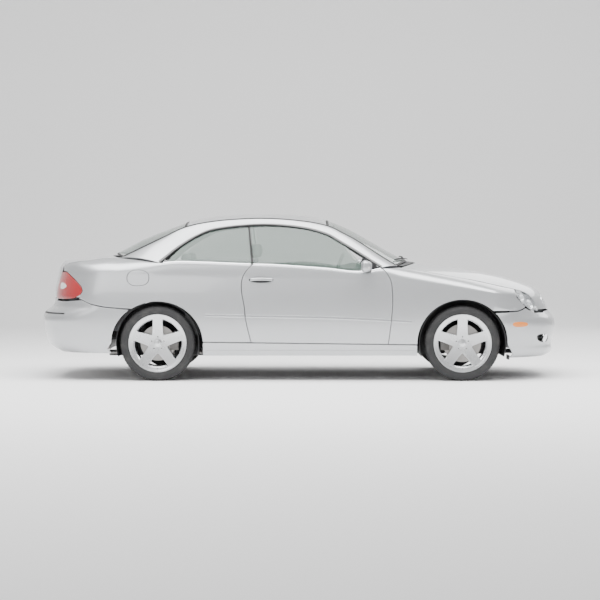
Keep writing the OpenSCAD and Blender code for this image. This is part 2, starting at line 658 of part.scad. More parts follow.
module exhaust() {
  color("gray") {
    translate([px(930), -250, floor_z - 27 - seat_gap]) rotate([0, -90, 0]) cylinder(r = 27, h = px(930) - px(-1725), $fn = 32);
    translate([px(-2060), -py(330), pz(345) - seat_gap - 100])
      cube([px(-1720) - px(-2060), 2 * py(330), 100]);
  }
}
module rear_bulkhead() {
  trunk_z = pz(345) + floor_t + seat_gap;
  color("dimgray") {
    translate([px(-1215), -py(545), trunk_z]) cube([18, 2 * py(545), pz(1004) - trunk_z]);
    plate([[-1745, -545], [-1100, -545], [-1100, 545], [-1745, 545]], pz(1000), 16);
    translate([px(-2160), -py(520), trunk_z]) cube([18, 2 * py(520), pz(615) - trunk_z]);
    // Hinge brackets under the front corners of the trunk lid
    resize([0, 0, 0]) both() difference() {
      translate([px(-1740), py(505), pz(1004)]) cube([26, 30, pz(1090) - pz(1004)]);
      above_lid(lid_grid);
    }
  }
}

// ---- Cabin ----
module profile(points, y0, y1) {
  across(y0, y1) polygon([for (p = points) [px(p[0]), pz(p[1])]]);
}
module dashboard() {
  color("darkslategray") {
    profile([[792, 640], [792, 958], [700, 950], [600, 925], [570, 880], [590, 700], [700, 640]],
      -py(648), py(648));
    profile([[780, 660], [917.6, 700], [917.6, 930], [780, 945]], -py(560), py(560));
    profile([[-260, 262.6], [590, 262.6], [590, 640], [500, 640], [380, 560], [-230, 540]], -105, 105);
    translate([px(338), seat_y, pz(933)]) rotate([0, -column_tilt, 0]) {
      translate([24, 0, 0]) rotate([0, 90, 0]) cylinder(r = 34, h = px(620) - px(338), $fn = 32);
      translate([-12, 0, 0]) rotate([0, 90, 0]) cylinder(r = column_r, h = 40, $fn = 32);
    }
  }
}
column_tilt = -21.6;
column_r = 11;
column_fit = 0.05;
module steering_wheel() {
  color("dimgray") translate([px(338), seat_y, pz(933)]) rotate([0, -column_tilt, 0]) rotate([0, 90, 0]) {
    rotate_extrude($fn = 64) translate([steering_r - steering_tube_r, 0]) circle(r = steering_tube_r, $fn = 24);
    difference() {
      union() {
        translate([0, 0, -20]) cylinder(r = 62, h = 36, $fn = 48);
        for (a = [90, -90, 180]) rotate([0, 0, a]) translate([40, -19, -8])
          cube([steering_r - steering_tube_r - 44, 38, 16]);
      }
      translate([0, 0, -12.4]) cylinder(r = column_r + column_fit, h = 40, $fn = 32);
    }
  }
}
cushion_gap = 0.5;
module front_seat() {
  w = seat_w / 2;
  profile([[-350, 262.8], [110, 262.8], [130, 380], [-350, 380]], -w + 60, w - 60);
  profile([[-349.5, 380.6], [150, 380.6], [180, 470], [150, 520], [-60, 500], [-349.5, 470]], -w, w);
  profile([[-350, 380.6], [-350, 520], [-330, 560], [-380, 860], [-410, 1020], [-470, 1030], [-505, 980],
    [-470, 700], [-440, 380.6]], -w, w);
  profile([[-350, 1045], [-335, 1100], [-345, 1190], [-375, 1215], [-440, 1205], [-460, 1120], [-440, 1050]],
    -w + 110, w - 110);
  for (y = [-60, 60]) translate([px(-425), y, pz(1024)]) cylinder(r = 7, h = pz(1060) - pz(1024), $fn = 16);
}
module front_seats() {
  color("darkslategray") both() translate([0, seat_y, 0]) front_seat();
}
module rear_seat() {
  color("darkslategray") {
    profile([[-830, 262.8], [-440, 262.8], [-450, 400], [-480, 470], [-830, 430]], -560, 560);
    profile([[-829, 430.6], [-800, 480], [-900, 700], [-960, 960], [-1060, 990], [-1090, 930], [-1000, 430.6]], -560, 560);
    for (y = [-330, 330]) profile([[-985, 968.4], [-965, 1060], [-985, 1125], [-1050, 1130], [-1075, 1060], [-1055, 989.4]],
      y - 120, y + 120);
  }
}

// ---- Running gear ----
beam_top = pz(265);
arm_drop = 150;
kingpin_y = front_track / 2 - 46.5;
hub_len = 92;
hub_gap = 8;
module arm(x, y0, y1, z) {
  translate([x - 24, y0, z - 11]) cube([48, y1 - y0 - 26, 22]);
  translate([x, y1, z - 11]) cylinder(r = 32, h = 22, $fn = 40);
}
module front_axle() {
  color("dimgray") {
    translate([axle_f - 45, -330, pz(218)]) cube([90, 660, beam_top - pz(218)]);
    both() {
      translate([axle_f - 30, 290, axle_z - arm_drop - 11]) cube([60, 45, pz(230) - axle_z + arm_drop + 11]);
      arm(axle_f, 310, kingpin_y, axle_z - arm_drop);
      arm(axle_f, wing_y + 6.3, kingpin_y, axle_z + arm_drop);
    }
  }
}
pin_r = 9;
module knuckle(side) {
  color("gray") mirrored(side) translate([axle_f, 0, axle_z]) {
    translate([0, kingpin_y, -arm_drop + 11.4]) cylinder(r = 26, h = 2 * arm_drop - 22.8, $fn = 40);
    translate([0, kingpin_y, 0]) rotate([-90, 0, 0]) cylinder(r = 46, h = 52, $fn = 48);
    translate([0, kingpin_y + 40, 0]) rotate([-90, 0, 0]) cylinder(r = spindle_r, h = hub_len - 10, $fn = 48);
    translate([-100, kingpin_y + 14, -16]) cube([70, 18, 32]);
    caliper(-1, front_disc_r, front_disc_y);
  }
}
module caliper(dir, disc_r, disc_y) {
  x0 = dir < 0 ? -disc_r - 24 : disc_r - 52;
  difference() {
    translate([x0, disc_y - 34, -62]) cube([76, 60, 124]);
    translate([0, disc_y - 14, 0]) rotate([-90, 0, 0]) cylinder(r = disc_r + 5, h = 28, $fn = 72);
  }
  translate([dir < 0 ? -disc_r + 20 : 20, disc_y - 34, -22]) cube([disc_r - 40, 16, 44]);
}
front_disc_y = front_track / 2 + 34;
rear_disc_y = rear_track / 2 + 34;
module knuckle_left() { knuckle(1); }
module knuckle_right() { knuckle(-1); }
module rear_axle() {
  color("dimgray") {
    translate([axle_r - 50, -py(400), pz(262)]) cube([100, 2 * py(400), 50]);
    both() translate([axle_r, py(300), pz(262) + 49]) cylinder(r = 32, h = pz(345) - pz(262) - 49 - seat_gap, $fn = 32);
    both() translate([axle_r, 0, axle_z]) {
      hub_y = rear_track / 2 - 46.5;
      translate([-26, py(390), -90]) cube([52, hub_y - py(390) + 20, 26]);
      translate([-26, hub_y, -90]) cube([52, 24, 170]);
      rotate([-90, 0, 0]) translate([0, 0, hub_y + 10]) cylinder(r = spindle_r, h = hub_len + 20, $fn = 48);
      rotate([-90, 0, 0]) translate([0, 0, hub_y]) cylinder(r = 46, h = 52, $fn = 48);
      caliper(1, rear_disc_r, rear_disc_y);
    }
  }
}

// ---- Wheels ----
tyre_fit = 0.2;
module tyre(y, w) {
  h = w / 2;
  s = tyre_r;
  color([0.12, 0.12, 0.12]) rotate([-90, 0, 0]) translate([0, 0, y]) rotate_extrude($fn = 72)
    polygon([[flange_r - 14 + tyre_fit, -h + 12], [flange_r + tyre_fit, -h + 12], [flange_r + 8, -h + 3],
      [s - 40, -h], [s - 16, -h + 8], [s - 4, -h + 24], [s, -h + 50],
      [s, h - 50], [s - 4, h - 24], [s - 16, h - 8], [s - 40, h], [flange_r + 8, h - 3],
      [flange_r + tyre_fit, h - 12], [flange_r - 14 + tyre_fit, h - 12], [flange_r - 14 + tyre_fit, h - 40],
      [flange_r + 20, h - 30], [s - 18, h - 40], [s - 18, -h + 40], [flange_r + 20, -h + 30],
      [flange_r - 14 + tyre_fit, -h + 40]]);
}
rim_wall = 7;
barrel_r = flange_r - 28;
spoke_end = flange_r - 14 - rim_wall + 1.5;
module rim(y, w, disc_r) {
  h = w / 2 - 12;
  bead = flange_r - 14;
  color("silver") rotate([-90, 0, 0]) translate([0, 0, y]) difference() {
    union() {
      rotate_extrude($fn = 72) polygon([[flange_r, h], [flange_r, h + 6], [bead - rim_wall, h + 6], [bead - rim_wall, h - 30],
        [barrel_r - rim_wall, h - 48], [barrel_r - rim_wall, -h + 30], [bead - rim_wall, -h + 14], [bead - rim_wall, -h - 6], [flange_r, -h - 6],
        [flange_r, -h], [bead, -h], [bead, -h + 20], [barrel_r, -h + 36], [barrel_r, h - 42],
        [bead, h - 24], [bead, h]]);
      for (i = [0 : 4]) rotate([0, 0, 72 * i - 90]) translate([0, 0, h - 34]) linear_extrude(height = 26)
        polygon([[68, -46], [spoke_end, -37], [spoke_end, 37], [68, 46]]);
      translate([0, 0, h - 60]) cylinder(r = 85, h = 54, $fn = 64);
      translate([0, 0, disc_gap]) cylinder(r = 70, h = h - 60 - disc_gap + 1, $fn = 64);
      translate([0, 0, disc_gap]) cylinder(r = disc_r, h = 22, $fn = 72);
    }
    translate([0, 0, -20]) cylinder(r = spindle_r + spindle_fit, h = h - 5, $fn = 48);
    for (i = [0 : 4]) rotate([0, 0, 72 * i - 90]) translate([bolt_circle_r, 0, h - 30])
      cylinder(r = bolt_hole_r, h = 60, $fn = 32);
  }
}
spindle_fit = 0.05;
disc_gap = 24;
module tyre_front_left() { tyre_at(axle_f, 1) tyre(front_track / 2, front_tyre_w); }
module tyre_front_right() { tyre_at(axle_f, -1) tyre(front_track / 2, front_tyre_w); }
module tyre_rear_left() { tyre_at(axle_r, 1) tyre(rear_track / 2, rear_tyre_w); }
module tyre_rear_right() { tyre_at(axle_r, -1) tyre(rear_track / 2, rear_tyre_w); }
module tyre_at(x, side) { mirrored(side) translate([x, 0, axle_z]) children(); }
module rim_front_left() { tyre_at(axle_f, 1) rim(front_track / 2, front_tyre_w, front_disc_r); }
module rim_front_right() { tyre_at(axle_f, -1) rim(front_track / 2, front_tyre_w, front_disc_r); }
module rim_rear_left() { tyre_at(axle_r, 1) rim(rear_track / 2, rear_tyre_w, rear_disc_r); }
module rim_rear_right() { tyre_at(axle_r, -1) rim(rear_track / 2, rear_tyre_w, rear_disc_r); }

floor_pan();
front_structure();
firewall();
cowl();
body_side_left();
body_side_right();
roof_panel();
windshield();
rear_window();
quarter_glass();
fender_left();
fender_right();
front_bumper();
rear_bumper();
side_sills();
headlamps();
tail_lamps();
wheel_liners();
engine_block();
dashboard();
front_seats();
rear_seat();
rear_bulkhead();
exhaust();
front_axle();
rear_axle();
door_left();
door_right();
door_glass_left();
door_glass_right();
mirror_left();
mirror_right();
handle_left();
handle_right();
hood();
grille();
trunk_lid();
knuckle_left();
knuckle_right();
tyre_front_left();
tyre_front_right();
tyre_rear_left();
tyre_rear_right();
rim_front_left();
rim_front_right();
rim_rear_left();
rim_rear_right();
steering_wheel();
fuel_flap();
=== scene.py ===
"""The looks of a two-door coupe car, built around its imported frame.

Lengths are in millimetres in the shape code and become metres when a mesh is made.
"""
import json
import logging
import math
from collections.abc import Callable, Iterable, Sequence
from dataclasses import dataclass, field
from enum import Enum

import bmesh
import bpy
import numpy as np
from mathutils import Matrix, Vector
from mathutils.geometry import delaunay_2d_cdt

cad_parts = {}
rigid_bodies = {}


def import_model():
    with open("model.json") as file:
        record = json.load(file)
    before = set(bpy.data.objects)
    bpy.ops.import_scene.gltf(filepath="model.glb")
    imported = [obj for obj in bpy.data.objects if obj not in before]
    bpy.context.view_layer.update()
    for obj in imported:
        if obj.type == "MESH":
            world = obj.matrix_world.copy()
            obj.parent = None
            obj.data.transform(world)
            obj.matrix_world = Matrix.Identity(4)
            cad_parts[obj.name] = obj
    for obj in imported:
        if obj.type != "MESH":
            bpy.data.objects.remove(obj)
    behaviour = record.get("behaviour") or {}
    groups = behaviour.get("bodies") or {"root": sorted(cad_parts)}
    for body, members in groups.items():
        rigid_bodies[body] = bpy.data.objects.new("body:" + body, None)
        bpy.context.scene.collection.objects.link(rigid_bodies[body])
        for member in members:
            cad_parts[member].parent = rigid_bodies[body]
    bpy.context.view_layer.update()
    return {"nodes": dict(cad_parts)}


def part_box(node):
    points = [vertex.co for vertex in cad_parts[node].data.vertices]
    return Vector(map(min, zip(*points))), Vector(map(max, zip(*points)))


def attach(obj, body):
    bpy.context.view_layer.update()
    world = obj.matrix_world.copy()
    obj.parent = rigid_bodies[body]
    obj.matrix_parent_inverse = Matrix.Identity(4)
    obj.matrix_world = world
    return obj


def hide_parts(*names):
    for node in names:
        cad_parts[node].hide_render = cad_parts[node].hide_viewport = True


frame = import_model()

log = logging.getLogger("coupe")
MM = 0.001
Point = tuple[float, float]
Colour = tuple[float, float, float]


class Side(Enum):
    """A side of the car, as the sign of Y."""

    LEFT = 1
    RIGHT = -1

    @property
    def word(self) -> str:
        """The side's name in body and node names."""
        return self.name.lower()


# ---------------------------------------------------------------- Shader maths


class Link:
    """A socket in a material that takes part in arithmetic."""

    def __init__(self, graph: "Graph", socket: bpy.types.NodeSocket) -> None:
        """Wraps a socket of a graph.

        Args:
            graph: The material's graph.
            socket: The output socket to carry on from.
        """
        self.graph = graph
        self.socket = socket

    def _math(self, operation: str, *values: "Link | float") -> "Link":
        """A Math node over this and other values, in the order given."""
        return self.graph.node("ShaderNodeMath", {"operation": operation}, dict(enumerate(values)))

    def __add__(self, other: "Link | float") -> "Link":
        """This plus another value."""
        return self._math("ADD", self, other)

    __radd__ = __add__

    def __mul__(self, other: "Link | float") -> "Link":
        """This times another value."""
        return self._math("MULTIPLY", self, other)

    __rmul__ = __mul__

    def __sub__(self, other: "Link | float") -> "Link":
        """This less another value."""
        return self._math("SUBTRACT", self, other)

    def __rsub__(self, other: "Link | float") -> "Link":
        """Another value less this."""
        return self._math("SUBTRACT", other, self)

    def __pow__(self, power: float) -> "Link":
        """This to a power."""
        return self._math("POWER", self, power)

    def above(self, level: float, softness: float) -> "Link":
        """A mask that rises from 0 to 1 round a level.

        Args:
            level: Where the mask starts to rise.
            softness: How much further it takes to reach 1.

        Returns:
            The mask.
        """
        settings = {"interpolation_type": "SMOOTHSTEP"}
        return self.graph.node("ShaderNodeMapRange", settings, {0: self, 1: level, 2: level + softness})


class Graph:
    """The nodes of one material."""

    def __init__(self, name: str) -> None:
        """Starts a material with one Principled shader.

        Args:
            name: The material's name.
        """
        self.material = bpy.data.materials.new(name)
        self.material.use_nodes = True
        self.tree = self.material.node_tree
        self.shader = self.tree.nodes["Principled BSDF"]

    def node(self, kind: str, settings: dict | None = None, inputs: dict | None = None,
            output: int | str = 0) -> Link:
        """Adds a node.

        Args:
            kind: The node's type.
            settings: Properties, set before the inputs. A ramp's stops go under "stops".
            inputs: A value or a link for each input, by number or name.
            output: Which output to carry on from.

        Returns:
            The chosen output.
        """
        made = self.tree.nodes.new(kind)
        for key, value in (settings or {}).items():
            if key == "stops":
                for stop, (place, colour) in zip(self._stops(made, len(value)), value):
                    stop.position, stop.color = place, (*colour, 1)
            else:
                setattr(made, key, value)
        for key, value in (inputs or {}).items():
            self.feed(made.inputs[key], value)
        return Link(self, made.outputs[output])

    @staticmethod
    def _stops(ramp: bpy.types.Node, count: int) -> list[bpy.types.ColorRampElement]:
        """The stops of a ramp, once it has as many as it needs."""
        elements = ramp.color_ramp.elements
        while len(elements) < count:
            elements.new(1.0)
        return list(elements)

    def feed(self, socket: bpy.types.NodeSocket, value: "Link | float | Sequence[float]") -> None:
        """Gives an input socket a link or a constant.

        Args:
            socket: The input.
            value: What it gets.
        """
        if isinstance(value, Link):
            self.tree.links.new(value.socket, socket)
        elif isinstance(value, tuple) and socket.type == "RGBA":
            socket.default_value = (*value[:3], 1)
        else:
            socket.default_value = value

    def shade(self, **inputs: "Link | float | Colour") -> None:
        """Feeds the Principled shader, with underscores for the spaces in socket names."""
        for key, value in inputs.items():
            self.feed(self.shader.inputs[key.replace("_", " ")], value)

    def place(self) -> Link:
        """The point being shaded, in metres."""
        return self.node("ShaderNodeTexCoord", output="Object")

    def noise(self, scale: float, detail: float = 3, roughness: float = 0.5) -> Link:
        """Smooth noise from 0 to 1.

        Args:
            scale: Features to a metre.
            detail: How many finer layers are added.
            roughness: How strong the finer layers are.

        Returns:
            The noise.
        """
        inputs = {"Vector": self.place(), "Scale": scale, "Detail": detail, "Roughness": roughness}
        return self.node("ShaderNodeTexNoise", {}, inputs)

    def cells(self, scale: float, feature: str = "F1") -> Link:
        """Distance in a cell pattern.

        Args:
            scale: Cells to a metre.
            feature: Which distance is read.

        Returns:
            The distance.
        """
        inputs = {"Vector": self.place(), "Scale": scale}
        return self.node("ShaderNodeTexVoronoi", {"feature": feature}, inputs, "Distance")

    def mix(self, factor: "Link | float", first: "Link | Colour", second: "Link | Colour") -> Link:
        """A colour between two others.

        Args:
            factor: 0 for the first, 1 for the second.
            first: A colour.
            second: Another.

        Returns:
            The mixed colour.
        """
        return self.node("ShaderNodeMix", {"data_type": "RGBA"}, {0: factor, 6: first, 7: second}, 2)

    def bump(self, height: Link, strength: float, distance: float) -> None:
        """Feeds a bump to the shader's normal.

        Args:
            height: The height from 0 to 1.
            strength: How much of the bump shows.
            distance: The height's real size in metres.
        """
        inputs = {"Strength": strength, "Distance": distance, "Height": height}
        self.shade(Normal=self.node("ShaderNodeBump", {}, inputs))


# ---------------------------------------------------------------- Finishes


@dataclass(frozen=True)
class Paint:
    """Metallic body paint with a fine flake under a clear coat."""

    name: str = "silver_paint"
    colour: Colour = (0.40, 0.41, 0.42)
    flake: Colour = (0.60, 0.61, 0.625)
    roughness: float = 0.34
    flakes: float = 900.0

    def build(self) -> bpy.types.Material:
        """Makes the material."""
        g = Graph(self.name)
        flake = g.cells(self.flakes)
        drift = g.noise(1.4, 2)
        colour = g.mix(flake.above(0.25, 0.4), self.flake, self.colour)
        g.shade(Base_Color=colour, Metallic=0.72, Roughness=self.roughness + drift * 0.04,
                Coat_Weight=1.0, Coat_Roughness=0.04)
        g.bump(g.noise(220, 1), 0.03, 0.0003)
        return g.material


@dataclass(frozen=True)
class Moulded:
    """Moulded plastic or rubber with a fine grain."""

    name: str
    colour: Colour
    roughness: float = 0.55
    grain: float = 900.0
    depth: float = 0.0002
    worn: Colour = (0.06, 0.06, 0.062)
    gloss: float = 0.0

    def build(self) -> bpy.types.Material:
        """Makes the material."""
        g = Graph(self.name)
        wear = g.noise(6, 4).above(0.5, 0.3)
        g.shade(Base_Color=g.mix(wear * 0.35, self.colour, self.worn), Roughness=self.roughness + wear * 0.08,
                Coat_Weight=self.gloss)
        g.bump(g.cells(self.grain), 0.25, self.depth)
        return g.material


@dataclass(frozen=True)
class Metal:
    """Bare, cast, polished or brushed metal."""

    name: str
    colour: Colour
    roughness: float
    blotch: float = 0.1
    grain: float = 300.0
    depth: float = 0.0002
    dull: Colour = (0.2, 0.19, 0.18)

    def build(self) -> bpy.types.Material:
        """Makes the material."""
        g = Graph(self.name)
        stain = g.noise(9, 5, 0.6).above(0.45, 0.35)
        g.shade(Base_Color=g.mix(stain * self.blotch, self.colour, self.dull), Metallic=1.0,
                Roughness=self.roughness + stain * 0.1)
        g.bump(g.noise(self.grain, 3), 0.2, self.depth)
        return g.material


@dataclass(frozen=True)
class Glazing:
    """Tinted glass that lets the cabin show."""

    name: str
    colour: Colour
    alpha: float
    roughness: float = 0.02

    def build(self) -> bpy.types.Material:
        """Makes the material."""
        g = Graph(self.name)
        haze = g.noise(3, 2)
        g.shade(Base_Color=g.mix(haze * 0.2, self.colour, tuple(c * 1.3 for c in self.colour)),
                Roughness=self.roughness + haze * 0.02,
                Alpha=self.alpha, Coat_Weight=0.6, Coat_Roughness=0.01)
        g.material.surface_render_method = "BLENDED"
        return g.material


@dataclass(frozen=True)
class Lens:
    """Fluted lamp plastic."""

    name: str
    colour: Colour
    alpha: float
    flutes: float = 45.0
    glow: float = 0.0

    def build(self) -> bpy.types.Material:
        """Makes the material."""
        g = Graph(self.name)
        inputs = {"Vector": g.place(), "Scale": self.flutes}
        flute = g.node("ShaderNodeTexWave", {"bands_direction": "Z"}, inputs, "Fac")
        deep = tuple(c * 0.6 for c in self.colour)
        g.shade(Base_Color=g.mix(flute * 0.5, self.colour, deep), Roughness=0.08 + flute * 0.04,
                Alpha=self.alpha, Coat_Weight=1.0, Emission_Color=self.colour, Emission_Strength=self.glow)
        g.bump(flute, 0.25, 0.0006)
        return g.material


@dataclass(frozen=True)
class Hide:
    """Leather with pores and creases."""

    name: str = "seat_leather"
    colour: Colour = (0.085, 0.088, 0.085)
    light: Colour = (0.15, 0.152, 0.148)

    def build(self) -> bpy.types.Material:
        """Makes the material."""
        g = Graph(self.name)
        pores = g.cells(420, "DISTANCE_TO_EDGE")
        crease = g.noise(24, 5, 0.65)
        g.shade(Base_Color=g.mix(crease.above(0.4, 0.4), self.colour, self.light),
                Roughness=0.42 + crease * 0.18, Coat_Weight=0.08)
        g.bump(pores * 0.5 + crease * 0.5, 0.35, 0.0012)
        return g.material


@dataclass(frozen=True)
class Carpet:
    """Short looped pile."""

    name: str = "carpet"
    colour: Colour = (0.05, 0.05, 0.052)
    light: Colour = (0.11, 0.11, 0.11)

    def build(self) -> bpy.types.Material:
        """Makes the material."""
        g = Graph(self.name)
        pile = g.cells(500)
        g.shade(Base_Color=g.mix(pile, self.colour, self.light), Roughness=0.95, Sheen_Weight=0.3)
        g.bump(pile, 0.6, 0.002)
        return g.material


@dataclass(frozen=True)
class TyreRubber:
    """Black rubber with a dusty bloom and fine rings on the walls."""

    name: str = "tyre_rubber"
    colour: Colour = (0.018, 0.018, 0.019)
    dust: Colour = (0.075, 0.072, 0.068)

    def build(self) -> bpy.types.Material:
        """Makes the material."""
        g = Graph(self.name)
        bloom = g.noise(11, 5, 0.6).above(0.45, 0.35)
        g.shade(Base_Color=g.mix(bloom * 0.5, self.colour, self.dust), Roughness=0.72 + bloom * 0.12)
        g.bump(g.noise(350, 3) * 0.6 + g.cells(260) * 0.4, 0.3, 0.0005)
        return g.material


class Finishes:
    """Every finish of the car, made once."""

    def __init__(self) -> None:
        """Builds all the materials."""
        chrome, steel = (0.82, 0.83, 0.84), (0.42, 0.41, 0.40)
        self.paint = Paint().build()
        self.underbody = Moulded("underbody_paint", (0.028, 0.028, 0.03), 0.7, 160, 0.0012).build()
        self.black = Moulded("black_trim", (0.014, 0.014, 0.015), 0.5).build()
        self.gloss_black = Moulded("gloss_black", (0.01, 0.01, 0.011), 0.18, 400, 0.00005, gloss=0.8).build()
        self.seal = Moulded("rubber_seal", (0.012, 0.012, 0.012), 0.65, 700, 0.0003).build()
        self.dash = Moulded("dashboard_plastic", (0.035, 0.036, 0.038), 0.6, 620, 0.0006).build()
        self.panel_grey = Moulded("trim_panel", (0.07, 0.072, 0.072), 0.65, 520, 0.0005).build()
        self.plate = Moulded("blank_plate", (0.75, 0.75, 0.73), 0.4, 500, 0.0001, (0.6, 0.6, 0.58)).build()
        self.chrome = Metal("bright_trim", chrome, 0.09, 0.03, 80, 0.00003).build()
        self.dull_chrome = Metal("dark_bright_trim", (0.33, 0.34, 0.35), 0.22, 0.1, 200).build()
        self.alloy = Metal("wheel_alloy", (0.66, 0.67, 0.68), 0.27, 0.1, 500, 0.00008,
                (0.4, 0.4, 0.4)).build()
        self.disc = Metal("brake_disc", (0.30, 0.29, 0.28), 0.34, 0.5, 240, 0.0002).build()
        self.cast = Metal("cast_iron", (0.15, 0.145, 0.14), 0.6, 0.6, 190, 0.001, (0.08, 0.07, 0.06)).build()
        self.exhaust = Metal("exhaust_steel", steel, 0.42, 0.5, 160, 0.0004, (0.16, 0.12, 0.09)).build()
        self.glass = Glazing("tinted_glass", (0.12, 0.17, 0.145), 0.40).build()
        self.clear = Glazing("clear_lamp", (0.75, 0.78, 0.8), 0.2).build()
        self.red = Lens("red_lamp", (0.36, 0.006, 0.008), 1.0).build()
        self.amber = Lens("amber_lamp", (0.85, 0.24, 0.02), 1.0).build()
        self.white_lens = Lens("white_lamp", (0.82, 0.82, 0.80), 0.9).build()
        self.leather = Hide().build()
        self.carpet = Carpet().build()
        self.tyre = TyreRubber().build()


# ---------------------------------------------------------------- Shape of the body


def mix(first: float, second: float, share: float) -> float:
    """The value a share of the way from the first to the second."""
    return first + (second - first) * share


def steps(count: int) -> list[float]:
    """Shares from 0 to 1 in even steps."""
    return [i / count for i in range(count + 1)]


class Curve:
    """A smooth curve through rows of numbers, keyed by the first of each row."""

    def __init__(self, *rows: Sequence[float]) -> None:
        """Keeps the rows and works out the slopes at each.

        Args:
            rows: A key and the values there.
        """
        self.rows = rows
        last = len(rows) - 1
        ends = [(max(0, i - 1), min(last, i + 1)) for i in range(last + 1)]
        self.slopes = [[(rows[b][k] - rows[a][k]) / (rows[b][0] - rows[a][0])
                for k in range(1, len(rows[0]))] for a, b in ends]

    def at(self, key: float, column: int = 1) -> float:
        """Reads the curve.

        Args:
            key: Where to read it.
            column: Which value.

        Returns:
            The value there.
        """
        i = 0
        while i < len(self.rows) - 2 and key >= self.rows[i + 1][0]:
            i += 1
        low, high = self.rows[i], self.rows[i + 1]
        h = high[0] - low[0]
        t = max(0.0, min(1.0, (key - low[0]) / h))
        m, n = self.slopes[i][column - 1] * h, self.slopes[i + 1][column - 1] * h
        return (low[column] * (1 + 2 * t) * (1 - t) ** 2 + m * t * (1 - t) ** 2
                + high[column] * t * t * (3 - 2 * t) - n * t * t * (1 - t))


